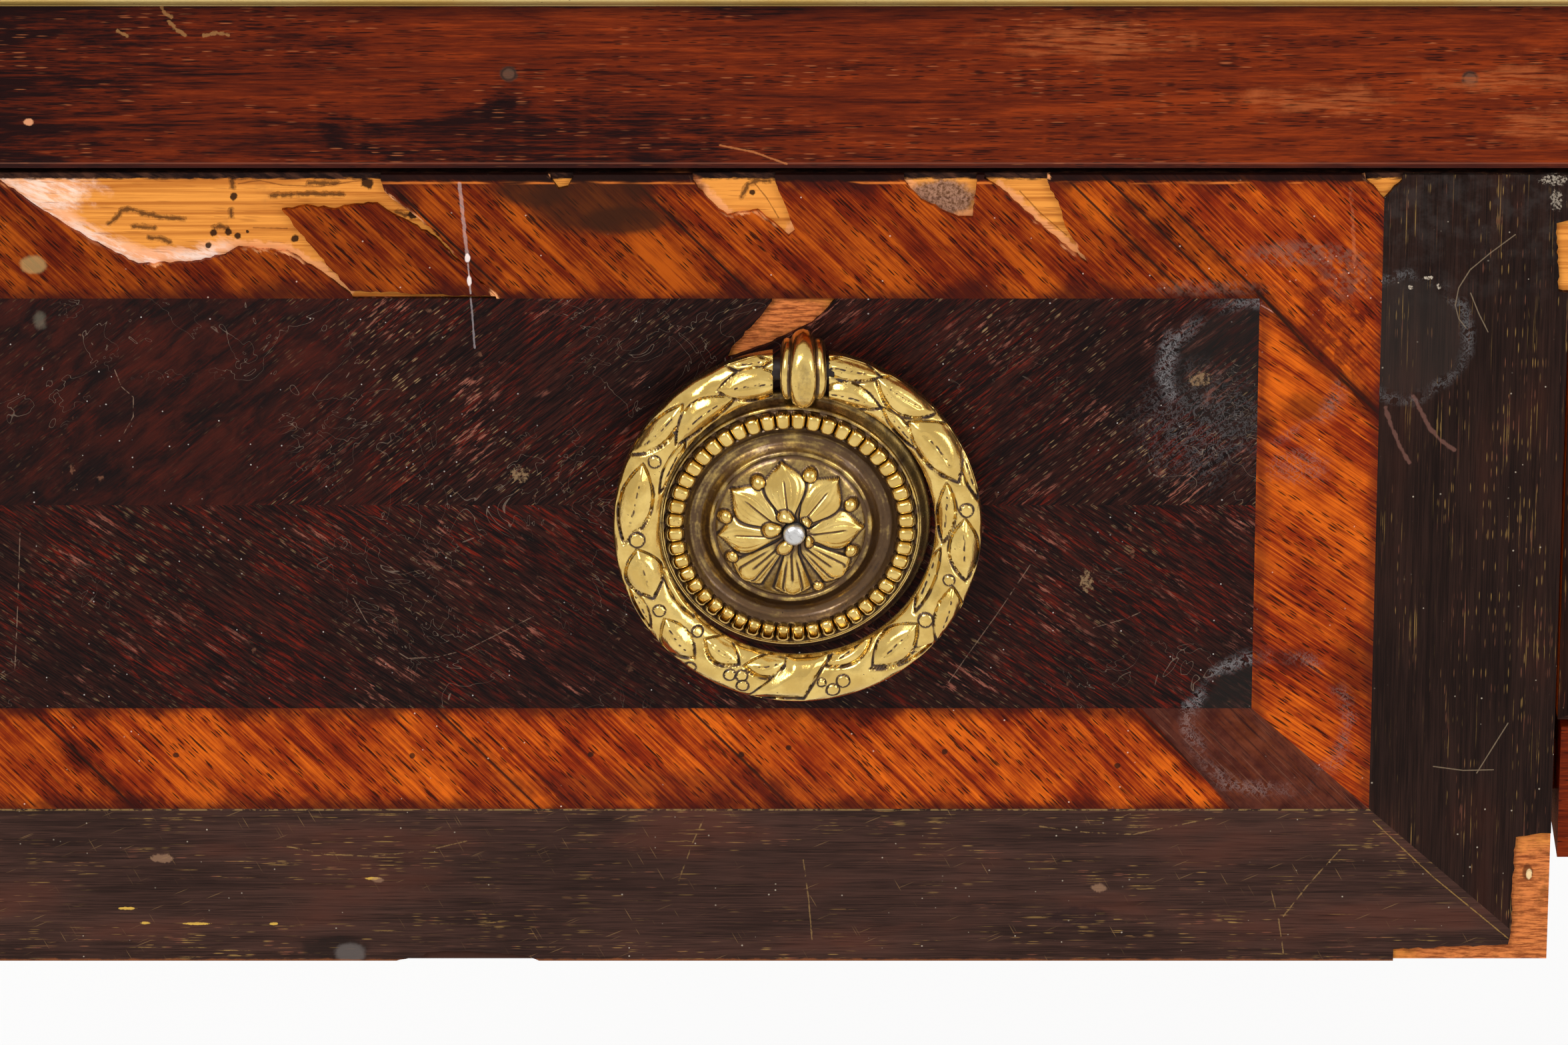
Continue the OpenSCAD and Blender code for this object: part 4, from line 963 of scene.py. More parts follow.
def topBandMarks(board, rough):
    z = board.axis(2)
    board.spots("stains", 0.85, rgb(50, 24, 12), 0.22, 4.0, 0.5)
    worn = frontHigh.z - edgeWearAndLight["arris"]
    # painted highlight: a bright orange broken line along the top arris of the front
    arris = z.near(worn, 0.35, 0.1)
    glint = board.noise(board.grain(flat, 16, 2), 2, 0.6).step(0.48, 0.6)
    board.lay(arris * glint * 0.6, rgb(226, 122, 48))
    # dirt and painted shade of the gap under the band, near black along the front's top edge
    ragged = (board.noise(board.grain(flat, 3, 0.8), 3, 0.6) - 0.5) * 1.3 * mm
    dirt = (z + ragged).step(worn, frontHigh.z - edgeWearAndLight["dirt"])
    board.lay(dirt * 0.9, rgb(24, 11, 9))
    board.spots("glueDrop", 0.62, rgb(164, 132, 84), 0.3, 2.0)
    board.draw("drip", 0.42, 0.26, rgb(232, 200, 190), 0.7, 1.0)
    board.draw("dripLow", 0.2, 0.3, rgb(232, 210, 204), 0.6, 0.9)
    board.spots("drops", 0.75, rgb(244, 226, 218), 0.4, 0.8)
    cornerJoint(board)
    mottled = board.cloud(3.0, 4, 0.65, 5.0).step(0.42, 0.58)
    board.spots("mottle", 0.7, rgb(84, 20, 9), 0.4, 4.0, 0.8, mottled)
    board.lay(nearEdge(board, photoMarks["topBandEnd"]) * 0.7, rgb(52, 16, 16))
    crumbs = board.cloud(0.9, 3, 0.7, 2.0).step(0.40, 0.56)
    haze = 0
    for spot, manner, strength in photoMarks["topHazes"]:
        haze = (board.spot(*spot, *manner) * crumbs * strength).most(haze)
    board.lay(haze * 0.46, rgb(116, 84, 70))
    specks = board.dashes(flat, 1.0, 1.0, 0.3, 9.0, 0.2)
    board.spots("paleSpecks", 0.7, rgb(230, 180, 160), 0.6, 4.0, 0.8, specks)
    broken = board.cloud(1.5, 3, 0.6, 4.0).step(0.38, 0.6)
    board.draw("nick", 0.42, 0.3, rgb(190, 110, 72), 1.2, 1.0, broken)
    return rough + haze * 0.2


def endBandMarks(board, rough):
    cornerJoint(board)
    board.draw("paleStroke", 0.16, 0.8, rgb(226, 160, 140))
    board.spots("scorches", 0.55, tulipwood["deep"], 0.7, 4.0, 0.9)
    haze = cupMark(board, "cupLow")[0].most(cupMark(board, "cupHigh")[0])
    web = board.spot(*photoMarks["endWeb"], 0.7, 3.0, 0.8) * board.curls(1.3, 0.07)
    haze = haze.most(web * 0.7)
    board.lay(haze * 0.5, rgb(126, 98, 90))
    left, right = [nearEdge(board, place) for place in photoMarks["endBandSides"]]
    board.lay(left.most(right) * 0.6, rgb(60, 18, 12))
    return rough + haze * 0.2


def lowBandMarks(board, rough):
    board.spots("nailDots", 0.85, rgb(34, 20, 12), 0.3, 0.8)
    # the last piece of the strip is purple
    (jointX, jointZ), (endX, endZ) = [onFace(px, py, faceY) for px, py in photoJoints["low"][-1]]
    lean = (endX - jointX) / (jointZ - endZ)
    piece = (board.axis(0) + (board.axis(2) - jointZ) * lean).over(jointX)
    purple = board.paint(board.cloud(5, 4, 0.65).step(0.35, 0.65), rgb(50, 21, 17), rgb(80, 40, 29))
    board.lay(piece * 0.86, purple)
    board.spots("lowSmear", 0.5, rgb(70, 22, 12), 0.5, 5.0, 0.9)
    for long, seed, share, color in ((16, 3.0, 0.4, rgb(120, 76, 56)), (20, 5.0, 0.7, rgb(34, 16, 14))):
        rays = board.noise(board.grain((0, 47, 0), long, 0.5, seed), 3, 0.6).step(0.56, 0.66)
        board.lay(rays * piece * share, color)
    haze = cupMark(board, "cupLow")[0]
    board.lay(haze * 0.5, rgb(132, 108, 102))
    return rough + haze * 0.2


def endBorderMarks(board, rough):
    board.draw("gouges", 0.5, 0.55, rgb(112, 76, 66), 0.95, 1.4)
    board.draw("hairs", 0.14, 0.5, rgb(140, 120, 96), 0.4, 0.9)
    z = board.axis(2) + (board.cloud(7, 3, 0.6) - 0.5) * 16 * mm
    high = z.step(frontHigh.z - edgeWearAndLight["smokeFrom"], frontHigh.z - edgeWearAndLight["smokeTo"])
    smoke = board.cloud(3.2, 4, 0.65, 1.0).step(0.42, 0.68) * high
    board.lay(smoke * 0.10, rgb(96, 90, 86))
    rim, inside = cupMark(board, "cupEnd")
    board.lay(inside * 0.28, rgb(54, 48, 44))
    board.lay(rim * 0.4, rgb(112, 110, 110))
    broken = board.cloud(0.5, 3, 0.6, 2.0).step(0.42, 0.56)
    for spot, share in photoMarks["flakes"]:
        board.lay(board.spot(*spot, 1.4, 0.6) * broken * share, rgb(196, 180, 160))
    return rough


def lowBorderMarks(board, rough):
    z = board.axis(2)
    dust = board.cloud(1.6, 3, 0.6, 3.0)
    thin = dust.step(0.42, 0.56)
    board.draw("borderScratches", 0.16, 0.45, rgb(150, 118, 72), 1.2, 0.7, thin)
    dense = dust.step(0.36, 0.5)
    board.draw("mitreGlint", 0.15, 0.6, rgb(150, 116, 60), 0.8, 0.9, dense)
    hem = z.near(frontLow.z + lowBorderTall - edgeWearAndLight["hem"], 0.26, 0.06)
    board.lay(hem * dust.step(0.42, 0.54) * 0.6, rgb(146, 116, 70))
    board.spots("glints", 0.8, rgb(206, 164, 72), 0.7, 0.8)
    web = board.dashes((0, 62, 0), 4.4, 0.24, 0.04, 5.0, 0.4)
    web = web.most(board.dashes((0, -24, 0), 5.2, 0.24, 0.05, 6.0, 0.4))
    board.lay(web * board.cloud(11, 2, 0.5, 9.0).step(0.46, 0.6) * 0.4, rgb(140, 108, 70))
    board.spots("pit", 0.7, rgb(30, 22, 19), 0.4, 2.0)
    board.spots("blob", 0.5, rgb(106, 98, 94), 0.25, 1.5)
    board.spots("knot", 0.5, rgb(30, 20, 22), 0.5, 1.5)
    board.spots("palePatches", 0.5, rgb(150, 114, 88), 0.8, 1.0)
    board.spots("dullField", 0.22, rgb(20, 14, 12), 0.5, 9.0, 0.9)
    foot = z + (board.cloud(2.5, 3, 0.6) - 0.5) * mm
    start, end = edgeWearAndLight["foot"]
    board.lay(foot.step(frontLow.z + start, frontLow.z + end) * 0.6, rgb(140, 80, 44))
    return rough


def coreMarks(board, height):
    torn = board.noise(board.grain((0, 25, 0), 5, 1.3), 4, 0.68)
    bruise = board.fromStrokes("bruise")
    white = (bruise + (torn - 0.5) * 7 * mm).step(3.2 * mm, 0.8 * mm)
    white = white.most(board.spot(*photoMarks["milk"], 0.8, 2.5, 0.9) * 0.8)
    board.lay(white * 0.85, board.paint(torn.step(0.38, 0.62), rgb(236, 168, 124), rgb(250, 224, 208)))
    height = height + white * torn * 1.6
    board.draw("splinters", 1.3, 0.6, rgb(238, 164, 112), 0.95, 1.6)
    worm = board.draw("worms", 0.66, 0.55, rgb(128, 74, 32), 1.0, 0.9)
    board.draw("worms", 0.36, 0.7, rgb(54, 30, 14), 1.6, 0.9)
    fibre = board.dashes((0, 2, 0), 5, 0.3, 0.22, 3.0, 0.4)
    board.lay(fibre * 0.5, rgb(140, 76, 30))
    height = height - worm * 3
    board.draw("cracks", 0.16, 0.6, rgb(92, 46, 18), 0.9, 0.9)
    for px, py, size in photoMarks["wormHoles"]:
        hole = board.spot(px, py, size * 0.14, size * 0.15, 0.6, 0.9)
        board.lay(hole * 0.95, rgb(40, 21, 11))
        height = height - hole * 2
    glue = board.spot(*photoMarks["glue"], 0.25, 1.5)
    crumbs = board.cloud(0.6, 4, 0.7)
    board.lay(glue * 0.92, board.paint(crumbs.step(0.35, 0.65), rgb(66, 42, 34), rgb(156, 116, 96)))
    height = height + glue * crumbs * 3
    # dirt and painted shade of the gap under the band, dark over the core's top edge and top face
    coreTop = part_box("left_drawer_front")[1][2]
    ragged = (board.noise(board.grain(flat, 3, 0.7), 4, 0.65) - 0.5) * 1.6 * mm
    dirt = (board.axis(2) + ragged).step(coreTop - edgeWearAndLight["coreDirtAndShade"], coreTop - edgeWearAndLight["dirt"])
    board.lay(dirt, board.paint(torn.step(0.4, 0.7), rgb(26, 14, 12), rgb(70, 42, 30)))
    fine = board.noise(board.grain(flat, 4, 0.5, 3.0), 4, 0.7)
    red = board.paint(fine.step(0.40, 0.62), rgb(206, 118, 64), rgb(120, 56, 30))
    red = board.paint(board.cloud(5, 4, 0.65, 4.0).step(0.48, 0.66) * 0.7, red, rgb(98, 52, 22))
    for spot, bright in photoMarks["warmSpots"]:
        warm = board.spot(*spot, 0.25, 3.0)
        board.lay(warm * 0.9, board.scaled(red, bright))
        height = height + warm * fine * 1.5
    board.spots("hollow", 0.8, rgb(84, 44, 22), 0.3, 1.0)
    board.spots("hollowGlint", 1, rgb(222, 190, 140), 0.4, 0.8)
    board.spots("notchFloor", 1, rgb(58, 36, 29), 0.2, 3.0)
    return height


# from where to where along the band its figure darkens, and grows pale
bandFigure = {
    "dark": (-0.480, -0.580),
    "pale": (-0.42, -0.28),
}


def gloomOfBand(board):
    # the figure is darkest at the left and in one long patch
    x = board.axis(0)
    gloom = x.step(*bandFigure["dark"]) * 0.32 - x.step(*bandFigure["pale"]) * 0.10 - 0.02
    for spot, ragged, share in photoMarks["bandGloom"]:
        gloom = gloom + board.spot(*spot, ragged, 8.0, 0.9) * share
    return gloom


def bandMarks(board, rough):
    z = board.axis(2)
    low, high = [corner[2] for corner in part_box("edge_band")]
    # painted shadow of the brass rim darkens the top of the band
    shadeStart, shadeEnd = edgeWearAndLight["bandRimShadow"]
    board.lay(z.step(high - shadeStart, high - shadeEnd) * 0.55, rosewood["dark"])
    # darker towards the band's bottom edge
    footStart, footEnd = edgeWearAndLight["bandFoot"]
    board.lay(z.step(low + footStart, low + footEnd) * 0.8, rgb(40, 18, 16))
    # painted highlight along the band's rounded bottom arris
    board.lay(z.near(low + edgeWearAndLight["bandArrisGlint"], 0.22, 0.06) * 0.35, rgb(134, 84, 66))
    for px, py in photoMarks["plugs"]:
        plug = board.spot(px, py, 1.6, 1.5, 0.2, 0.8)
        ring = plug * (1 - board.spot(px, py, 1.15, 1.05, 0.2, 0.8))
        board.lay(plug * 0.7, rgb(84, 66, 52))
        board.lay(ring * 0.8, rgb(34, 20, 18))
    streaks = board.noise(board.grain(flat, 9, 0.7, 3.0), 4, 0.66).step(0.40, 0.60)
    board.spots("bareSpots", 0.6, rgb(164, 84, 42), 0.8, 4.0, 0.8, streaks)
    board.draw("scars", 0.42, 0.6, rgb(150, 106, 62), 1.3, 0.8)
    board.spots("bandSpeck", 0.9, rgb(206, 140, 100), 0.35, 0.8)
    board.draw("bandScratch", 0.25, 0.6, rgb(184, 110, 62), 0.8, 0.8)
    return rough


# Sheets of veneer on a drawer front
veneer = {
    "thick": frontHigh.y - faceY,
    "borderEnd": 32.8 * mm,
    "bandingEnd": 21.4 * mm,
    "bandingTop": 23.4 * mm,
    "jointDrop": 23.4 * mm,
    "bandingLow": 19.9 * mm,
    "cell": 1.0 * mm,
    "ragged": 0.22 * mm,
    "raggedStep": 0.9 * mm,
    "looseLift": 0.12 * mm,
    "cutDepth": 4 * mm,
    "feather": 3.2 * mm,
}


def keep(name, shape, materials, body, node, smooth=False):
    # closes a bmesh into an object that rides on a body and stands for a node of the frame
    mesh = toMesh(name, shape)
    piece = show(name, mesh)
    for material in materials:
        mesh.materials.append(material)
    if smooth:
        mesh.shade_smooth()
        mesh.set_sharp_from_angle(angle=math.radians(65))
    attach(piece, body)
    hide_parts(node)
    return piece


def thicken(shape, faces, thick, index):
    # gives flat faces their thickness, and the whole leaf the material with this index
    for face in faces:
        face.material_index = index
    grown = bmesh.ops.extrude_face_region(shape, geom=faces)["geom"]
    moved = [item for item in grown if isinstance(item, bmesh.types.BMVert)]
    bmesh.ops.translate(shape, verts=moved, vec=(0, thick, 0))
    for vert in moved:
        for face in vert.link_faces:
            face.material_index = index


def addSheet(shape, outline, y, thick, index):
    # a flat leaf whose face is at y, from its outline in x and z
    corners = [shape.verts.new((x, y, z)) for x, z in outline]
    thicken(shape, [shape.faces.new(corners)], thick, index)


def addDenseSheet(shape, low, high, y, thick, index):
    # a rectangle in small cells, so that wear can be painted on its points
    wide = high[0] - low[0]
    tall = high[1] - low[1]
    made = bmesh.ops.create_grid(shape, x_segments=round(wide / veneer["cell"]),
                                 y_segments=round(tall / veneer["cell"]), size=0.5)["verts"]
    bmesh.ops.scale(shape, verts=made, vec=(wide, tall, 1))
    bmesh.ops.rotate(shape, verts=made, cent=(0, 0, 0), matrix=Matrix.Rotation(math.radians(90), 3, "X"))
    bmesh.ops.translate(shape, verts=made, vec=((low[0] + high[0]) / 2, y, (low[1] + high[1]) / 2))
    thicken(shape, list({face for vert in made for face in vert.link_faces}), thick, index)


def raggedOutline(points, dice):
    # the outline with small random steps, as veneer breaks
    result = []
    for first, second in zip(points, points[1:] + points[:1]):
        a = Vector(first)
        b = Vector(second)
        run = b - a
        count = max(1, round(run.length / veneer["raggedStep"]))
        side = Vector((-run.y, run.x)).normalized() if run.length > 0 else Vector((0, 0))
        for index in range(count):
            inner = 1 < index < count - 1
            offset = dice.uniform(-1, 1) * veneer["ragged"] if inner else 0
            result.append(tuple(a + run * (index / count) + side * offset))
    return result


def chipPrism(outline, y):
    # a cutter that reaches a little in front of and behind the veneer at y
    shape = bmesh.new()
    addSheet(shape, outline, y - veneer["cutDepth"], 2 * veneer["cutDepth"], 0)
    bmesh.ops.recalc_face_normals(shape, faces=shape.faces)
    return show("cutter", toMesh("cutter", shape))


def cutAway(shape, outlines, y):
    # returns the bmesh without the prisms that stand on the outlines
    bmesh.ops.recalc_face_normals(shape, faces=shape.faces)
    blank = show("blank", toMesh("blank", shape))
    for outline in outlines:
        cut = blank.modifiers.new("cut", "BOOLEAN")
        cut.operation = "DIFFERENCE"
        cut.solver = "EXACT"
        cut.object = chipPrism(outline, y)
    bpy.context.view_layer.update()
    solid = blank.evaluated_get(bpy.context.evaluated_depsgraph_get())
    result = bmesh.new()
    result.from_mesh(solid.to_mesh())
    solid.to_mesh_clear()
    for cut in list(blank.modifiers):
        bpy.data.objects.remove(cut.object)
    bpy.data.objects.remove(blank)
    return result


def layLeaf(shape, outline, y, index, cuts=()):
    # adds one leaf to the sheet, with the chips that reach it cut out
    leaf = bmesh.new()
    addSheet(leaf, outline, y, veneer["thick"], index)
    if cuts:
        leaf = cutAway(leaf, cuts, y)
    mesh = toMesh("leaf", leaf)
    shape.from_mesh(mesh)
    bpy.data.meshes.remove(mesh)


def frontPlan(prefix):
    # the outlines of the leaves of one drawer front, in x and z
    low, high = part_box(prefix + "_drawer_veneer")
    x0, z0, x1, z3 = low.x, low.z, high.x, high.z
    a0 = x0 + veneer["borderEnd"]
    a1 = x1 - veneer["borderEnd"]
    b0 = a0 + veneer["bandingEnd"]
    b1 = a1 - veneer["bandingEnd"]
    za = z0 + fronts[prefix]["borderLow"]
    zb = za + veneer["bandingLow"]
    zc = z3 - veneer["bandingTop"]
    seam = (zb + zc) / 2
    joint = zc - veneer["jointDrop"]
    return {
        "borderLow": [(x0, z0), (x1, z0), (a1, za), (a0, za)],
        "borderLeft": [(x0, z0), (a0, za), (a0, z3), (x0, z3)],
        "borderRight": [(x1, z0), (x1, z3), (a1, z3), (a1, za)],
        "leafLow": [(b0, zb), (b1, zb), (b1, seam), (b0, seam)],
        "leafHigh": [(b0, seam), (b1, seam), (b1, zc), (b0, zc)],
        "bandTop": [(a0, zc), (a1, zc), (a1, z3), (a0, z3)],
        "bandLow": [(a0, za), (a1, za), (b1, zb), (b0, zb)],
        "bandLeft": [(a0, za), (b0, zb), (b0, zc), (a0, joint)],
        "bandRight": [(a1, za), (a1, joint), (b1, zc), (b1, zb)],
        "cornerLeft": [(a0, zc), (b0, zc), (a0, joint)],
        "cornerRight": [(a1, zc), (b1, zc), (a1, joint)],
    }


def stripOf(outline, joints, tones, lean, shaded=(-1, 1)):
    # what orangeWood is told of a strip
    heights = [z for x, z in outline]
    sides = (min(heights), max(heights))
    return {"sides": sides, "joints": joints, "tones": tones, "lean": lean, "shaded": shaded}


def fromPath(points, path, closed=True):
    # least distance of each point from a path of straight lines
    ends = np.vstack([path[1:], path[:1]]) if closed else path[1:]
    nearest = np.full(len(points), np.inf)
    for first, second in zip(path, ends):
        run = second - first
        part = np.clip(((points - first) @ run) / max(run @ run, 1e-12), 0, 1)
        nearest = np.minimum(nearest, np.linalg.norm(points - first - part[:, None] * run, axis=1))
    return nearest


def feather(mesh, outlines):
    # paints how near each point is to the edge of a chip: 1 at it, 0 a few millimetres away
    points = np.array([(vert.co.x, vert.co.z) for vert in mesh.vertices])
    nearest = np.min([fromPath(points, np.array(outline)) for outline in outlines], axis=0)
    value = np.clip(1 - nearest / veneer["feather"], 0, 1).astype(np.float32)
    mesh.attributes.new("feather", "FLOAT", "POINT").data.foreach_set("value", value)


def photoOutline(pixels, dice):
    return raggedOutline([onFace(px, py, faceY) for px, py in pixels], dice)


def jointRow(start, end, dice):
    # x of the joints between the pieces of a strip
    row = []
    x = start + dice.uniform(20, 90) * mm
    while x < end:
        row.append(x)
        x += dice.choice((12, 36, 58, 82, 96)) * mm * dice.uniform(0.8, 1.2)
    return row


def tonesFor(joints, low, high, dice):
    return [dice.uniform(low, high) for _ in joints]


def photoRow(name):
    # x of the joints in the photograph, each at its middle
    return [sum(faceX(*pixel) for pixel in ends) / 2 for ends in photoJoints[name]]


# Chips along the top of the front that the photograph doesn't show: how far in, and how wide
plainChipList = ((64 * mm, 30 * mm), (220 * mm, 16 * mm), (332 * mm, 44 * mm))


def plainChips(plan, dice):
    start, top = plan["bandTop"][0][0], plan["bandTop"][2][1] + 3 * mm
    chips = []
    for place, wide in plainChipList:
        left = start + place
        outline = [(left, top), (left - 2 * mm, top - 5 * mm), (left + wide * 0.3, top - 9 * mm - wide * 0.1),
                   (left + wide * 0.8, top - 8 * mm), (left + wide, top)]
        chips.append(raggedOutline(outline, dice))
    return chips


# The three drawer fronts: how their grain turns, the seeds and tones of their woods, and their marks
fronts = {
    "left": {
        "y": faceY, "side": 1, "borderLow": lowBorderTall, "worn": True,
        "bands": {"top": 0.0, "low": 1.3, "ends": 2.1}, "endTone": 1.18,
        "slants": (-40, 36),
        "leafHigh": {"seed": 3.0, "marks": panelMarks, "redness": 0.5, "flecks": 0.85, "zones": calmOfPanel},
        "leafLow": {"seed": 4.0, "marks": panelMarks, "redness": 0.6, "flecks": 0.4},
        "along": {"seed": 0.0, "tone": 0.9, "marks": lowBorderMarks},
        "upright": {"seed": 6.0, "tone": 0.36, "marks": endBorderMarks, "golden": 0.46, "run": 2.2},
        "marks": {"top": topBandMarks, "low": lowBandMarks, "ends": endBandMarks},
    },
    "right": {
        "y": faceY, "side": -1, "borderLow": lowBorderTall, "worn": True,
        "bands": {"top": 5.5, "low": 6.8, "ends": 7.6}, "endTone": 1.18,
        "slants": (-40, 36),
        "leafHigh": {"seed": 8.5, "redness": 0.5, "flecks": 0.85},
        "leafLow": {"seed": 9.5, "redness": 0.6, "flecks": 0.4},
        "along": {"seed": 5.5, "tone": 0.9},
        "upright": {"seed": 11.5, "tone": 0.36, "golden": 0.46, "run": 2.2},
        "marks": {},
    },
    "centre": {
        "y": centreY, "side": 1, "borderLow": 14 * mm, "worn": False,
        "bands": {"top": 8.2, "low": 9.1, "ends": 9.9}, "endTone": 1.2,
        "slants": (-38, 36),
        "leafHigh": {"seed": 8.0, "redness": 0.5, "flecks": 0.8},
        "leafLow": {"seed": 9.0, "redness": 0.6, "flecks": 0.5},
        "along": {"seed": 8.0, "tone": 0.9},
        "upright": {"seed": 9.0, "tone": 0.5, "golden": 0.5},
        "marks": {},
    },
}
topTurn = 46
lowTurn = 47
endTurn = 36
topLean = 0.96
lowLean = 0.93
# the pieces of a sheet, each with the number of its wood
bandingPieces = ((0, "cornerLeft"), (0, "cornerRight"), (1, "bandLow"), (2, "bandLeft"), (2, "bandRight"))
veneerPieces = ((0, "leafHigh"), (1, "leafLow"), (2, "borderLow"), (3, "borderLeft"), (3, "borderRight"))


def layBanding(prefix, plan, top, low, chips, loose):
    # the tulipwood: a top strip with chips, two corners, a low strip and two ends
    look = fronts[prefix]
    side, seeds, marks, y = look["side"], look["bands"], look["marks"], look["y"]
    woods = [
        orangeWood(prefix + "TopBanding", (0, topTurn * side, 0), seeds["top"], top, marks.get("top"),
                   look["worn"]),
        orangeWood(prefix + "LowBanding", (0, lowTurn * side, 0), seeds["low"], low, marks.get("low")),
        orangeWood(prefix + "EndBanding", (0, endTurn * side, 0), seeds["ends"], None, marks.get("ends"),
                   tone=look["endTone"]),
    ]
    shape = bmesh.new()
    if look["worn"]:
        addDenseSheet(shape, plan["bandTop"][0], plan["bandTop"][2], y, veneer["thick"], 0)
        shape = cutAway(shape, chips, y)
    else:
        addSheet(shape, plan["bandTop"], y, veneer["thick"], 0)
    if loose:
        addSheet(shape, loose, y - veneer["looseLift"], veneer["thick"], 0)
    for index, key in bandingPieces:
        addSheet(shape, plan[key], y, veneer["thick"], index)
    bmesh.ops.recalc_face_normals(shape, faces=shape.faces)
    piece = keep(prefix + "Banding", shape, woods, prefix + "_drawer",
                 prefix + "_drawer_banding")
    if look["worn"]:
        feather(piece.data, chips)


def layVeneer(prefix, plan, cuts):
    # the two leaves of the panel and the three borders, with what is cut out of each
    look = fronts[prefix]
    slantHigh, slantLow = look["slants"]
    woods = [
        darkLeaf(prefix + "LeafHigh", (0, slantHigh * look["side"], 0), **look["leafHigh"]),
        darkLeaf(prefix + "LeafLow", (0, slantLow * look["side"], 0), **look["leafLow"]),
        borderWood(prefix + "LowBorder", flat, **look["along"]),
        borderWood(prefix + "EndBorder", (0, 90, 0), **look["upright"]),
    ]
    shape = bmesh.new()
    for index, key in veneerPieces:
        layLeaf(shape, plan[key], look["y"], index, cuts.get(key, ()))
    bmesh.ops.recalc_face_normals(shape, faces=shape.faces)
    keep(prefix + "Veneer", shape, woods, prefix + "_drawer", prefix + "_drawer_veneer")


def dressLeftDrawer(dice):
    plan = frontPlan("left")
    chips = [photoOutline(outline, dice) for outline in damage["chips"]]
    panelChips = [photoOutline(outline, dice) for outline in damage["panelChips"]]
    borderChips = [photoOutline(outline, dice) for outline in damage["borderChips"]]
    start = plan["bandTop"][0][0]
    unseenEnd = -0.56
    newTop = jointRow(start, unseenEnd, dice)
    newLow = jointRow(start, unseenEnd, dice)
    topTones = tonesFor(newTop, 0.58, 0.72, dice) + [0.62, 0.70, 0.84, 0.92, 0.82, 1.12]
    lowTones = tonesFor(newLow, 0.95, 1.15, dice) + [1.0, 1.12, 1.2, 1.18, 0.7]
    shaded = (plan["leafHigh"][0][0], plan["leafHigh"][1][0])
    top = stripOf(plan["bandTop"], newTop + photoRow("top"), topTones, topLean, shaded)
    low = stripOf(plan["bandLow"], newLow + photoRow("low"), lowTones, lowLean)
    layBanding("left", plan, top, low, chips, photoOutline(damage["looseLeaf"], dice))
    layVeneer("left", plan, {
        "leafHigh": panelChips,
        "borderLow": borderChips + [photoOutline(damage["notch"], dice)],
        "borderRight": borderChips + [chips[4]],
    })


def dressOtherDrawer(prefix, topRange, lowRange, dice, cuts=None):
    plan = frontPlan(prefix)
    look = fronts[prefix]
    chips = plainChips(plan, dice) if look["worn"] else []
    x0, x1 = plan["bandTop"][0][0], plan["bandTop"][1][0]
    topJoints = jointRow(x0, x1, dice)
    lowJoints = jointRow(x0, x1, dice)
    topTones = tonesFor([x0, *topJoints], *topRange, dice)
    lowTones = tonesFor([x0, *lowJoints], *lowRange, dice)
    shaded = (plan["leafHigh"][0][0], plan["leafHigh"][1][0]) if look["worn"] else (-1, 1)
    top = stripOf(plan["bandTop"], topJoints, topTones, topLean * look["side"], shaded)
    low = stripOf(plan["bandLow"], lowJoints, lowTones, lowLean * look["side"])
    layBanding(prefix, plan, top, low, chips, None)
    layVeneer(prefix, plan, cuts or {})


def keyhole():
    # as wide as in the frame: a round eye over a slot
    eye, slot, drop, belowPlate = 3.25 * mm, 1.6 * mm, 10 * mm, 9 * mm
    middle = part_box("keyhole_plate")[1].z - belowPlate
    turns = [math.radians(-60 + 15 * step) for step in range(21)]
    hole = [(eye * math.cos(turn), middle + eye * math.sin(turn)) for turn in turns]
    return hole + [(-slot, middle - drop), (slot, middle - drop)]


dice = random.Random(41)
dressLeftDrawer(dice)
dressOtherDrawer("right", (0.75, 1.1), (0.95, 1.2), dice)
print("side drawers veneered")
dressOtherDrawer("centre", (0.9, 1.2), (1.05, 1.4), dice, {"leafHigh": [keyhole()]})
print("centre drawer veneered")


# Ring pulls, drawn in millimetres at the middle of a rosette: x right, y up and z out of the front
pull = {
    "pivot": (2.4, 30.0, 6.0),
    "ringOuter": 32.5,
    "ringBand": 8.2,
    "ringBack": 2.2,
    "ringFront": 2.6,
    "ringShoulder": 0.2,
    "lean": 5.6,
    "slip": 2,
    "drop": 0.8,
    "mouth": (-5.35, 4.55),
    "pin": 2.0,
    "turns": 760,
    "across": 44,
    "startAngle": 5,
    "bevel": 0.5,
    "groove": 0.62,
}
ringMean = pull["ringOuter"] - pull["ringBand"] / 2
slipTurn = Matrix.Rotation(math.radians(-pull["slip"]), 3, "Z")

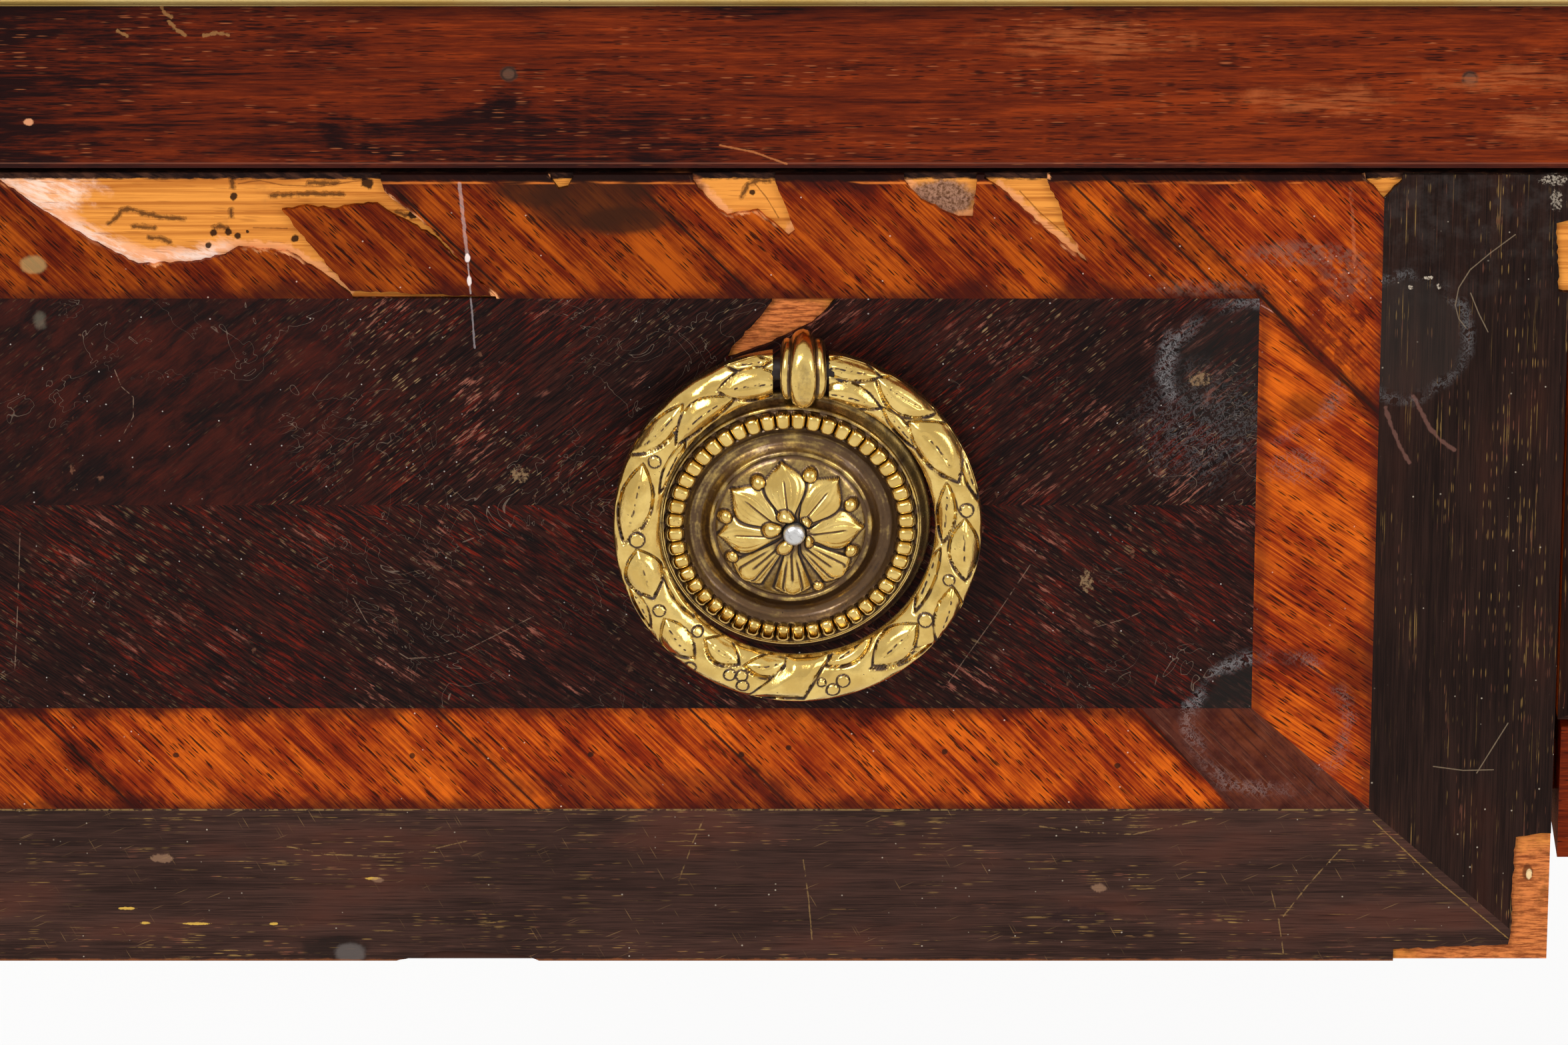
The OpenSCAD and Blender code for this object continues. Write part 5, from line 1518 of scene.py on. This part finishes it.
# The laurel on the ring, in pixels of the handle enlarged 2.489 times from (880, 480)
laurel = {
    "middle": (789, 767),
    "pixelsPerMm": 21.2,
    "squash": 0.951,
    "rise": 0.6,
    # base, tip, and how far each side bulges: away from the ring's middle, and towards it
    "leaves": [
        ((372, 452), (276, 645), 26, 22), ((284, 925), (402, 1112), 22, 26),
        ((1322, 850), (1226, 1092), 24, 22), ((1102, 322), (1228, 482), 30, 20),
        ((1400, 470), (1462, 668), 16, 22), ((690, 152), (520, 176), 20, 26),
        ((585, 1290), (752, 1274), 50, 22), ((440, 1190), (572, 1285), 45, 42),
        ((160, 1000), (238, 1150), 12, 26), ((290, 1110), (405, 1262), 68, 38),
        ((190, 850), (250, 1037), 70, 62), ((215, 530), (140, 832), 50, 66),
        ((365, 310), (165, 505), 26, 52), ((560, 290), (335, 467), 80, 14),
        ((762, 232), (487, 262), 64, 52),
        ((1070, 1175), (895, 1292), 45, 28), ((1290, 1215), (1058, 1302), 26, 16),
        ((1240, 1130), (1070, 1290), 62, 55), ((1370, 990), (1310, 1202), 64, 34),
        ((1415, 735), (1420, 975), 46, 60), ((1345, 600), (1330, 832), 40, 26),
        ((1200, 375), (1390, 602), 98, 46), ((1080, 215), (1305, 352), 46, 66),
        ((850, 170), (1098, 215), 44, 30), ((840, 275), (1100, 327), 66, 30),
    ],
    "strap": [(752, 1240), (905, 1230), (905, 1265), (870, 1320), (812, 1420), (596, 1420), (640, 1378),
              (740, 1300)],
    "berries": [
        (257, 523, 22), (190, 815, 28), (272, 1080, 22), (415, 1160, 20), (535, 1322, 21),
        (580, 1325, 21), (583, 1365, 22), (388, 1297, 20), (1420, 705, 25), (1355, 965, 20),
        (1268, 1115, 27), (960, 1345, 24), (922, 1380, 24), (880, 1350, 15),
    ],
}

# The rosette: its outline from the bolt's hole to the rim, and where the ornament sits
rosette = {
    "profile": [(2.05, 7.9), (3.2, 7.85), (5, 7.45), (7.5, 6.7), (10, 5.8), (12, 5.1), (13.0, 4.7),
                (13.35, 4.3), (13.7, 4.3), (13.95, 4.62), (14.3, 4.55), (14.9, 3.8), (15.8, 3.05),
                (16.9, 2.8), (17.8, 3.15), (18.4, 3.8), (18.8, 4.2), (19.1, 4.3), (22.4, 4.3),
                (22.9, 4.15), (23.3, 3.6), (24.0, 2.4), (24.6, 1.7), (24.8, 1.2)],
    "turns": 384,
    "cell": 0.25,
    "shift": (0.2, -1.1),
    "bolt": (0.62, 0.45),
    "beads": 48,
    "beadCircle": 20.55,
    "beadAcross": 1.25,
    "beadLong": 1.62,
    "beadHigh": 1.25,
    # angle and reach of each petal's tip
    "petals": [(97, 12.9), (49, 12.8), (1, 12.9), (-44, 12.9), (-88, 12.7), (-132, 12.9), (-175, 12.9),
               (144, 12.9)],
    "petalRoot": 2.2,
    "petalWide": 3.75,
    "petalHigh": 0.85,
    "ribDeep": 0.26,
    "ribWide": 0.2,
    # dark of a petal's ground, how far out its side ribs run, and their depth
    "plain": (0.12, (0.34, 0.67), 0.08),
    "fan": (0.20, (0.52,), 0.26),
    # the later petals lie over the earlier
    "petalOrder": (4, 3, 5, 6, 2, 1, 7, 0),
    # radii where the boss, its fillet, the hollow and the beads' ledge end
    "boss": 13.1,
    "fillet": (13.75, 14.45),
    "hollow": (14.45, 19.0),
    "ledge": (18.9, 22.4),
    # angle and reach of the balls between the petals, then of the berries round the bolt
    "balls": [(122, 10.9, 1.35), (72, 11.1, 1.35), (24, 11.7, 1.3), (-21, 11.6, 1.3), (-66, 12.2, 1.05),
              (-153, 11.7, 1.2), (168, 11.9, 1.35)],
    "berries": [(106, 3.5, 1.5), (42, 3.5, 1.1), (165, 3.7, 1.55), (-117, 2.9, 1.35), (-25, 3.3, 1.15)],
}

knuckle = {
    "profile": [(0, 6.5), (0.9, 6.48), (1.6, 6.3), (2.1, 5.9), (2.35, 5.45), (2.5, 5.25), (2.65, 5.3),
                (2.95, 5.38), (3.35, 5.42), (3.75, 5.2), (4.0, 4.75), (4.1, 4.2), (4.1, 2.0), (4.1, 0.02)],
    "turns": 112,
    "hollow": 0.42,
    "grooveWide": 0.3,
    "wornFrom": 5,
    "crown": {"from": 5.3, "lift": 0.09, "wide": 2.6},
    "waist": 0.2,
    "tang": 2.4,
    "tangLong": 29.2,
    "grooveAt": 2.5,
    "dip": {"x": 0.2, "wide": 1.4, "turn": -10, "tall": 44},
}

bolt = {
    "profile": [(0.001, 9.9), (0.7, 9.87), (1.3, 9.73), (1.75, 9.45), (1.95, 9.05), (1.95, 8.5), (1.95, 0),
                (1.95, -28.2), (0.001, -28.2)],
    "turns": 48,
    "nutRadius": 4.6,
    "nutTall": 3.2,
    "nutAt": -23.6,
    "nutBevel": 0.25,
}


def outlineOf(shape, points, closed=True):
    # the points as vertices joined by edges
    verts = [shape.verts.new(point) for point in points]
    ends = verts[1:] + verts[:1] if closed else verts[1:]
    return verts + [shape.edges.new(pair) for pair in zip(verts, ends)]


def spin(shape, section, axis, turn, steps, merge=False):
    bmesh.ops.spin(shape, geom=section, cent=(0, 0, 0), axis=axis, angle=turn, steps=steps, use_merge=merge)


def addRod(shape, radius, long, segments):
    made = bmesh.ops.create_cone(shape, cap_ends=True, segments=segments, radius1=radius, radius2=radius,
                                 depth=long)
    return made["verts"]


def closeHoles(shape):
    bmesh.ops.holes_fill(shape, edges=[edge for edge in shape.edges if edge.is_boundary], sides=0)
    bmesh.ops.recalc_face_normals(shape, faces=shape.faces)


def patinaOf(shape):
    # darkness of the finish at each point, which the brass reads
    return shape.verts.layers.float.new("patina")


# 1 at distance 0, falling off over the width
def fall(distance, width):
    return np.exp(-(distance / width) ** 2)


def rise(value, low, high):
    share = np.clip((value - low) / (high - low), 0, 1)
    return share * share * (3 - 2 * share)


def fromHandle(px, py):
    # a pixel of the enlarged handle as millimetres from the ring's middle, in its plane
    scale = laurel["pixelsPerMm"]
    return ((px - laurel["middle"][0]) / scale,
            (laurel["middle"][1] - py) / scale / laurel["squash"] + laurel["rise"])


def leafSide(base, tip, bulge, outward):
    # a curve from base to tip whose middle stands off the straight line by bulge
    a = np.array(base, float)
    b = np.array(tip, float)
    control = (a + b) / 2 + outward * 2.2 * bulge
    t = np.linspace(0, 1, 13)[:, None]
    return a * (1 - t) ** 2 + control * 2 * t * (1 - t) + b * t ** 2


def leafOutline(base, tip, outer, inner):
    a = np.array(base, float)
    run = np.array(tip, float) - a
    outward = np.array((run[1], -run[0])) / np.linalg.norm(run)
    if outward @ ((a + run / 2) - np.array(laurel["middle"])) < 0:
        outward = -outward
    outerSide = leafSide(base, tip, outer, outward)
    innerSide = leafSide(base, tip, -inner, outward)
    rib = leafSide(base, tip, (outer - inner) * 0.4, outward)[3:10]
    outline = np.vstack([outerSide, innerSide[-2:0:-1]])
    return (np.array([fromHandle(*point) for point in outline]),
            np.array([fromHandle(*point) for point in rib]))


def isInside(points, path):
    inside = np.zeros(len(points), bool)
    for first, second in zip(path, np.vstack([path[1:], path[:1]])):
        crosses = (first[1] > points[:, 1]) != (second[1] > points[:, 1])
        height = second[1] - first[1]
        if abs(height) > 1e-9:
            x = first[0] + (points[:, 1] - first[1]) / height * (second[0] - first[0])
            inside ^= crosses & (points[:, 0] < x)
    return inside


def waver(points, size, shift):
    # a smooth value from 0 to 1 that varies over the face
    x = points[:, 0] / size + shift
    y = points[:, 1] / size - shift
    return 0.5 + 0.25 * np.sin(1.7 * x + 2.3 * y) + 0.25 * np.sin(2.9 * x - 1.9 * y + 1)


# Depths and widths of the laurel's cuts, in millimetres
laurelCut = {
    "ground": 0.34,
    "uneven": 0.3,
    "groundDark": 0.12,
    "lineWide": 0.27,
    "grooveWide": 0.4,
    "slope": 0.74,
    "slopeWide": 1.9,
    "innerWide": 0.2,
    "leafBase": 0.30,
    "rib": 0.24,
    "ribWide": 0.22,
    "ribDarkWide": 0.16,
    "berryFoot": 0.42,
    "berryDome": 0.62,
    "moat": 0.5,
    "moatWide": 0.24,
}


def laurelDepth(points):
    # how deep the ring's face is cut at each point, in millimetres, and how dark the cut is
    cut = laurelCut
    depth = np.full(len(points), cut["ground"]) + cut["uneven"] * (waver(points, 2.2, 0.9) - 0.5)
    dark = np.full(len(points), cut["groundDark"])
    fields = [leafOutline(*leaf) for leaf in laurel["leaves"]]
    fields.append((np.array([fromHandle(*point) for point in laurel["strap"]]), None))
    uneven = 0.5 + 0.5 * rise(waver(points, 1.5, 0.4), 0.2, 0.75)
    for outline, rib in fields:
        edge = fromPath(points, outline)
        inside = isInside(points, outline)
        line = fall(edge, cut["lineWide"]) * uneven
        depth = np.where(inside, depth, np.maximum(depth, pull["groove"] * fall(edge, cut["grooveWide"])))
        dark = np.where(inside, 0, np.maximum(dark, line))
        own = cut["slope"] * (1 - rise(edge, 0, cut["slopeWide"]))
        own += pull["groove"] * 0.5 * fall(edge, cut["innerWide"])
        ownDark = line
        if rib is not None:
            start, end = outline[0], outline[12]
            run = end - start
            part = np.clip(((points - start) @ run) / (run @ run), 0, 1)
            own += cut["leafBase"] * (1 - part) ** 1.6
            near = fromPath(points, rib, False)
            own += cut["rib"] * fall(near, cut["ribWide"])
            ribDark = fall(near, cut["ribDarkWide"]) * rise(waver(points, 0.7, 2.0), 0.3, 0.6)
            ownDark = np.maximum(line * (0.35 + 0.65 * rise(part, 0.3, 0.9)), ribDark)
        depth = np.where(inside, own, depth)
        dark = np.where(inside, ownDark, dark)
    for px, py, size in laurel["berries"]:
        middle = np.array(fromHandle(px, py))
        radius = size / laurel["pixelsPerMm"]
        far = np.linalg.norm(points - middle, axis=1)
        dome = cut["berryFoot"] - cut["berryDome"] * np.sqrt(np.clip(1 - (far / radius) ** 2, 0, 1))
        moat = fall(far - radius, cut["moatWide"])
        depth = np.where(far < radius, dome, np.maximum(depth, cut["moat"] * moat))
        dark = np.where(far < radius * 0.86, 0, np.maximum(dark, 0.95 * moat))
    return depth, dark


def ringShape():
    # the ring in the frame of its pivot, with the mouth at the top
    shape = bmesh.new()
    half, back, bevel = pull["ringBand"] / 2, -pull["ringBack"], pull["bevel"]
    flank = ((-half, -1.0), (-half, -0.3))
    section = [(half - bevel, back), (bevel - half, back), (-half, back + bevel), *flank]
    for index in range(pull["across"] + 1):
        off = -half * math.cos(math.pi * index / pull["across"])
        high = (1 - abs(off / half) ** 2.5) ** 0.5
        section.append((off, pull["ringShoulder"] + (pull["ringFront"] - pull["ringShoulder"]) * high))
    section += [(half, -0.3), (half, -1.0), (half, back + bevel)]
    start = math.radians(pull["startAngle"])
    outline = outlineOf(shape, [(0, ringMean + off, high) for off, high in section])
    bmesh.ops.rotate(shape, verts=shape.verts[:], cent=(0, 0, 0), matrix=Matrix.Rotation(-start, 3, "Z"))
    spin(shape, outline, (0, 0, -1), 2 * math.pi - 2 * start, pull["turns"])
    bmesh.ops.rotate(shape, verts=shape.verts, cent=(0, 0, 0), matrix=slipTurn)
    engraveRing(shape)
    lift = slipTurn @ Vector((0, -ringMean, 0))
    lift.y -= pull["drop"]
    bmesh.ops.translate(shape, verts=shape.verts, vec=lift)
    for side, place in zip((1, -1), pull["mouth"]):
        near = []
        for face in shape.faces:
            middle = face.calc_center_median()
            if middle.y > -pull["ringBand"] and middle.x * side < 0:
                near.append(face)
        around = list({item for face in near for item in (*face.verts, *face.edges)}) + near
        bmesh.ops.bisect_plane(shape, geom=around, plane_co=(place, 0, 0), plane_no=(side, 0, 0),
                               clear_outer=True)
    closeHoles(shape)
    addPin(shape)
    return shape


def engraveRing(shape):
    patina = patinaOf(shape)
    verts = list(shape.verts)
    places = np.array([vert.co for vert in verts])
    depth, dark = laurelDepth(places[:, :2])
    off = np.abs(np.linalg.norm(places[:, :2], axis=1) - ringMean) / (pull["ringBand"] / 2)
    front = rise(places[:, 2], 0.2, 0.9)
    cut = depth * front * (1 - 0.45 * rise(off, 0.86, 1.0))
    grime = np.maximum(dark * front, 0.34 * (1 - front))
    for vert, down, gloom in zip(verts, cut, grime):
        vert.co.z -= down
        vert[patina] = float(gloom)


def addPin(shape):
    # the pivot pin that bridges the mouth
    patina = shape.verts.layers.float["patina"]
    made = addRod(shape, pull["pin"], pull["mouth"][1] - pull["mouth"][0] + 1, 40)
    bmesh.ops.rotate(shape, verts=made, cent=(0, 0, 0), matrix=Matrix.Rotation(math.radians(90), 3, "Y"))
    for vert in made:
        vert[patina] = 1.0


def profileAt(profile, radius):
    return np.interp(radius, [point[0] for point in profile], [point[1] for point in profile])


def petalRelief(points):
    # height over the boss and darkness of the petals
    high = np.zeros(len(points))
    dark = np.full(len(points), 0.46)
    root = rosette["petalRoot"]
    for index in rosette["petalOrder"]:
        angle, reach = rosette["petals"][index]
        turn = math.radians(angle)
        side = np.abs(points @ np.array((-math.sin(turn), math.cos(turn))))
        part = (points @ np.array((math.cos(turn), math.sin(turn))) - root) / (reach - root)
        share = np.clip(part, 0, 1)
        # the lower petals are fans with deeper ribs
        fan = math.sin(turn) < -0.6
        if fan:
            wide = (0.8 + 3.0 * share) * (1 - rise(share, 0.84, 1.03)) ** 0.5
        else:
            taper = (0.22 + 0.78 * rise(share, 0, 0.6)) * (1 - rise(share, 0.62, 1.02)) ** 0.7
            wide = rosette["petalWide"] * taper
        base, sideRibs, ribDepth = rosette["fan" if fan else "plain"]
        wide = wide + 0.01
        far = side / wide
        inside = (part > 0) & (part < 1) & (far < 1)
        top = rosette["petalHigh"] * (1 - np.clip(far, 0, 1) ** 2.6) * (0.4 + 0.6 * share)
        ribs = rosette["ribDeep"] * fall(side, rosette["ribWide"])
        ribs = ribs * rise(share, 0.02, 0.2) * rise(0.8 - share, 0, 0.15)
        for step in sideRibs:
            near = fall(side - step * wide, rosette["ribWide"])
            ribs += ribDepth * near * rise(share, 0.1, 0.5) * (share < 0.93)
        near = (part > -0.05) & (part < 1.02)
        edge = np.where(near, fall(np.clip(side - wide, 0, 9), 0.42), 0)
        outer = 0.85 * rise(far, 0.86, 1.0) * (1 - 0.5 * share)
        own = base + 2.1 * ribs + outer + 0.4 * (1 - rise(share, 0, 0.3))
        dark = np.where(inside, own, np.maximum(dark, edge))
        high = np.where(inside, top - ribs, high * (1 - 0.6 * edge) - 0.2 * edge)
    return high, dark


def rosetteShape():
    shape = bmesh.new()
    hole, reach = rosette["profile"][0][0], rosette["profile"][-1][0]
    count = round((reach - hole) / rosette["cell"])
    radii = [hole + (reach - hole) * index / count for index in range(count + 1)]
    section = [(radius, 0, float(profileAt(rosette["profile"], radius))) for radius in radii]
    outline = outlineOf(shape, [(hole, 0, 0), *section, (reach, 0, 0)])
    spin(shape, outline, (0, 0, 1), 2 * math.pi, rosette["turns"], True)
    bmesh.ops.recalc_face_normals(shape, faces=shape.faces)
    carveRosette(shape, hole)
    return shape


def between(value, limits):
    return (value > limits[0]) & (value < limits[1])


def carveRosette(shape, hole):
    patina = patinaOf(shape)
    verts = list(shape.verts)
    places = np.array([vert.co for vert in verts])
    spots = places[:, :2]
    radius = np.linalg.norm(spots, axis=1)
    angle = np.arctan2(spots[:, 1], spots[:, 0])
    face = (places[:, 2] > 0.5) & (radius > hole - 0.01)
    high, dark = petalRelief(spots)
    boss = radius < rosette["boss"]
    high = np.where(boss, high, 0)
    worn = waver(spots, 2.2, 1.0)
    streak = waver(np.stack([radius * 3, angle * 4], 1), 1.0, 2.0)
    dark = np.where(boss, dark, 0.62)
    dark = np.where(between(radius, rosette["fillet"]), 0.3 + 0.3 * worn, dark)
    hollow = 0.42 + 0.14 * worn + 0.18 * streak - 0.06 * np.sin(angle - 0.8)
    dark = np.where(between(radius, rosette["hollow"]), hollow, dark)
    for turn, out, size in rosette["balls"] + rosette["berries"]:
        middle = np.array((math.cos(math.radians(turn)), math.sin(math.radians(turn)))) * out
        far = np.linalg.norm(spots - middle, axis=1)
        dome = size * 0.95 * np.sqrt(np.clip(1 - (far / size) ** 2, 0, 1))
        within = far < size
        high = np.where(within, np.maximum(dome, high * 0.4), high)
        moat = 0.95 * fall(far - size, 0.22)
        dark = np.where(within, 0.08 + 0.8 * rise(far / size, 0.86, 1.0), np.maximum(dark, moat))
    # the beads, each a rounded block across the ledge
    pitch = 2 * math.pi * rosette["beadCircle"] / rosette["beads"]
    step = np.mod(angle / (2 * math.pi) * rosette["beads"], 1) - 0.5
    across = np.abs(step * pitch) / rosette["beadAcross"]
    along = np.abs(radius - rosette["beadCircle"]) / rosette["beadLong"]
    body = np.clip(1 - across ** 3.4 - along ** 3.4, 0, 1)
    onLedge = between(radius, rosette["ledge"])
    high = np.where(onLedge, rosette["beadHigh"] * body ** 0.4 - 0.25 * (body <= 0), high)
    beadDark = np.where(body > 0, 0.08 + 0.5 * rise(1 - body, 0.75, 1.0), 0.68)
    dark = np.where(onLedge, beadDark, dark)
    dark = np.where(radius >= rosette["ledge"][1], 0.2 + 0.24 * worn + 0.14 * np.sin(angle), dark)
    # the hole is drawn to where the bolt stands
    pulled = 1 - rise(radius, hole, 4.2)
    for vert, lift, gloom, shown, share in zip(verts, high, dark, face, pulled):
        vert.co.x += rosette["bolt"][0] * share
        vert.co.y += rosette["bolt"][1] * share
        if shown:
            vert.co.z += lift
        vert[patina] = float(np.clip(gloom, 0, 1)) if shown else 0.6


def knuckleShape():
    # the eye over the ring's mouth: ribs at its ends, a hollow on its front, and a tang behind
    shape = bmesh.new()
    patina = patinaOf(shape)
    right = knuckle["profile"]
    section = [(-x, radius) for x, radius in reversed(right[1:])] + right
    fine = []
    for first, second in zip(section, section[1:]):
        fine += [first, ((first[0] + second[0]) / 2, (first[1] + second[1]) / 2)]
    fine.append(section[-1])
    outline = outlineOf(shape, [(x, radius, 0) for x, radius in fine], False)
    spin(shape, outline, (1, 0, 0), 2 * math.pi, knuckle["turns"], True)
    bmesh.ops.remove_doubles(shape, verts=shape.verts, dist=0.02)
    spot, crown = knuckle["dip"], knuckle["crown"]
    for vert in shape.verts:
        x, y, z = vert.co
        radius = math.hypot(y, z)
        angle = math.degrees(math.atan2(y, z))
        outer = radius > knuckle["wornFrom"]
        groove = abs(abs(x) - knuckle["grooveAt"]) < knuckle["grooveWide"]
        worn = 0.2 if outer and not groove else 0.56
        dip = max(0, 1 - ((x - spot["x"]) / spot["wide"]) ** 2 - ((angle - spot["turn"]) / spot["tall"]) ** 2)
        if dip > 0 and outer:
            share = 1 - knuckle["hollow"] * dip ** 0.6 / radius
            vert.co.y = y * share
            vert.co.z = z * share
            worn = max(worn, 0.16 + 0.16 * min(1, 3 * dip))
        if radius > crown["from"]:
            vert.co.y *= 1 + crown["lift"] * (1 - min(1, abs(x) / crown["wide"]))
        vert.co.x = x * (1 - knuckle["waist"] * min(1, abs(y) / right[0][1]) ** 2)
        vert[patina] = worn
    seat = -pull["pivot"][2]
    bmesh.ops.bisect_plane(shape, geom=shape.verts[:] + shape.edges[:] + shape.faces[:],
                           plane_co=(0, 0, seat), plane_no=(0, 0, -1), clear_outer=True)
    closeHoles(shape)
    made = addRod(shape, knuckle["tang"], knuckle["tangLong"], 32)
    bmesh.ops.translate(shape, verts=made, vec=(0, 0, seat - knuckle["tangLong"] / 2 + 0.5))
    for vert in made:
        vert[patina] = 0.7
    return shape


def boltShape():
    # the bright domed end of the bolt, its shank and the nuts behind the front
    shape = bmesh.new()
    outline = outlineOf(shape, [(radius, 0, high) for radius, high in bolt["profile"]], False)
    spin(shape, outline, (0, 0, 1), 2 * math.pi, bolt["turns"], True)
    bmesh.ops.remove_doubles(shape, verts=shape.verts, dist=0.01)
    bmesh.ops.recalc_face_normals(shape, faces=shape.faces)
    for x, y in ((0, 0), pull["pivot"][:2]):
        nut = addRod(shape, bolt["nutRadius"], bolt["nutTall"], 6)
        bmesh.ops.translate(shape, verts=nut, vec=(x, y, bolt["nutAt"]))
        rim = {edge for vert in nut for edge in vert.link_edges}
        bmesh.ops.bevel(shape, geom=list(rim), offset=bolt["nutBevel"], segments=2, profile=0.5,
                        affect="EDGES", material=-1)
    return shape


def placeAll(name, mesh, places, material, body, node, inner):
    # copies of a pull's part at (x, y, z, mirrored) places, joined in one piece
    shape = bmesh.new()
    for x, y, z, mirrored in places:
        place = Matrix.Translation((x, y, z)) @ Matrix.Rotation(math.radians(90), 4, "X")
        place = place @ Matrix.Diagonal((mm * (-1 if mirrored else 1), mm, mm, 1)) @ inner
        copy = mesh.copy()
        copy.transform(place)
        if mirrored:
            copy.flip_normals()
        shape.from_mesh(copy)
        bpy.data.meshes.remove(copy)
    return keep(name, shape, [material], body, node, smooth=True)


# The drawers' pulls from left to right: the word for each ring, and whether it is mirrored
pullRows = {
    "left": (("outer", False), ("inner", False)),
    "centre": (("left", False), ("right", True)),
    "right": (("inner", True), ("outer", True)),
}


def makePulls():
    ringMesh = toMesh("ringMaster", ringShape())
    print("ring engraved")
    plateMesh = toMesh("rosetteMaster", rosetteShape())
    print("rosette carved")
    knuckleMesh = toMesh("knuckleMaster", knuckleShape())
    boltMesh = toMesh("boltMaster", boltShape())
    cast = brass("pullBrass", "patina")
    bright = steel("brightSteel")
    shift = Vector((*rosette["shift"], 0))
    atPlate = Matrix.Translation(shift)
    atBolt = Matrix.Translation(shift + Vector((*rosette["bolt"], 0)))
    atPivot = Matrix.Translation(pull["pivot"])
    leaning = atPivot @ Matrix.Rotation(math.radians(-pull["lean"]), 4, "X")
    fixed = (
        ("Rosettes", plateMesh, cast, "gilt_brass", "_rosettes", atPlate),
        ("Knuckles", knuckleMesh, cast, "gilt_brass", "_knuckles", atPivot),
        ("PullBolts", boltMesh, bright, "steel", "_pull_bolts", atBolt),
    )
    for prefix, row in pullRows.items():
        low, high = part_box(prefix + "_rosettes")
        z = (low.z + high.z) / 2
        half = (high.z - low.z) / 2
        ends = (low.x + half, high.x - half)
        places = [(x, fronts[prefix]["y"], z, mirrored) for x, (word, mirrored) in zip(ends, row)]
        body = prefix + "_drawer"
        for name, mesh, material, slotName, node, inner in fixed:
            placeAll(prefix + name, mesh, places, material, body, prefix + node, inner)
        for place, (word, mirrored) in zip(places, row):
            placeAll(f"{prefix}Ring{word.capitalize()}", ringMesh, [place], cast, f"{prefix}_{word}_pull",
                     f"{prefix}_ring_{word}", leaning)
    for mesh in (ringMesh, plateMesh, knuckleMesh, boltMesh):
        bpy.data.meshes.remove(mesh)


makePulls()
print("ring pulls in place")


rimPlan = {
    "lip": 0.6 * mm,
    "gap": 0.1 * mm,
    "slope": 0.3 * mm,
    "turns": 13,
    "firstTurn": -78,
    "step": 14,
}


def makeRim():
    # the brass edge of the top, with a lip that hangs a little below its seat
    low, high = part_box("brass_rim")
    nose = (high.z - low.z) / 2
    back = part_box("top_border_veneer")[1].x - high.x
    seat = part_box("edge_band")[1].x - high.x + rimPlan["gap"]
    profile = [(back, 0), (seat, 0), (seat + rimPlan["slope"], -rimPlan["lip"])]
    for step in range(rimPlan["turns"]):
        angle = math.radians(rimPlan["firstTurn"] + rimPlan["step"] * step)
        tall = nose + rimPlan["lip"] if angle < 0 else nose
        profile.append((min(nose * math.cos(angle) - nose, 0), nose + tall * math.sin(angle)))
    profile.append((back, 2 * nose))
    shape = bmesh.new()
    loops = []
    for sx, sy in ((1, 1), (-1, 1), (-1, -1), (1, -1)):
        x = high.x if sx > 0 else low.x
        y = high.y if sy > 0 else low.y
        outline = outlineOf(shape, [(x + off * sx, y + off * sy, low.z + up) for off, up in profile])
        loops.append(outline[len(profile):])
    for first, second in zip(loops, loops[1:] + loops[:1]):
        bmesh.ops.bridge_loops(shape, edges=first + second)
    bmesh.ops.recalc_face_normals(shape, faces=shape.faces)
    bright = brass("rimBrass", age=0.1, pale=rgb(216, 192, 124), size=30, matt=0.45)
    keep("brassRim", shape, [bright], "desk", "brass_rim", smooth=True)


makeRim()
print("rim in place")


# Materials on the frame's own pieces
def finishNode(material, *names):
    for name in names:
        mesh = nodes[name].data
        mesh.materials.clear()
        mesh.materials.append(material)


def finishNodes():
    finishNode(bandWood("edgeRosewood", flat, 0.0, bandMarks), "edge_band")
    finishNode(bandWood("railRosewood", flat, 3.0, tone=-0.12, bright=1.3), "kneehole_rail")
    finishNode(pineWood("drawerPine", flat, 0.0, marks=coreMarks), "left_drawer_front")
    finishNode(pineWood("plainPine", flat, 2.0), "centre_drawer_front", "right_drawer_front", "top_core",
               "front_top_rail", "side_bottom_rails")
    finishNode(pineWood("deepPine", (0, 0, 90), 4.0), "inner_side_left", "inner_side_right", "runners",
               "kickers")
    oakAlong = pineWood("oakAlong", (0, 0, 90), 5.0, "oakPale", "oakLine")
    oakAcross = pineWood("oakAcross", flat, 6.0, "oakPale", "oakLine")
    for prefix in fronts:
        finishNode(oakAlong, prefix + "_drawer_sides")
        finishNode(oakAcross, prefix + "_drawer_back", prefix + "_drawer_bottom")
    finishNode(borderWood("legVeneer", (0, 90, 0), 7.0, 1.1), "leg_front_left", "leg_front_right",
               "leg_back_left", "leg_back_right")
    finishNode(casePanel("leftEndPanel", "end_panel_left", 1, 1.0), "end_panel_left")
    finishNode(casePanel("rightEndPanel", "end_panel_right", 1, 2.0), "end_panel_right")
    finishNode(casePanel("backPanel", "back_panel", 0, 3.0), "back_panel")
    finishNode(topWood("topBorder"), "top_border_veneer")
    finishNode(leather("greenLeather"), "leather_panel")
    finishNode(brass("castBrass"), "leg_collars", "brass_shoes", "keyhole_plate", "lock_case")
    finishNode(steel("ironwork"), "top_screws", "lock_bolt", "key")


finishNodes()
print("frame pieces finished")
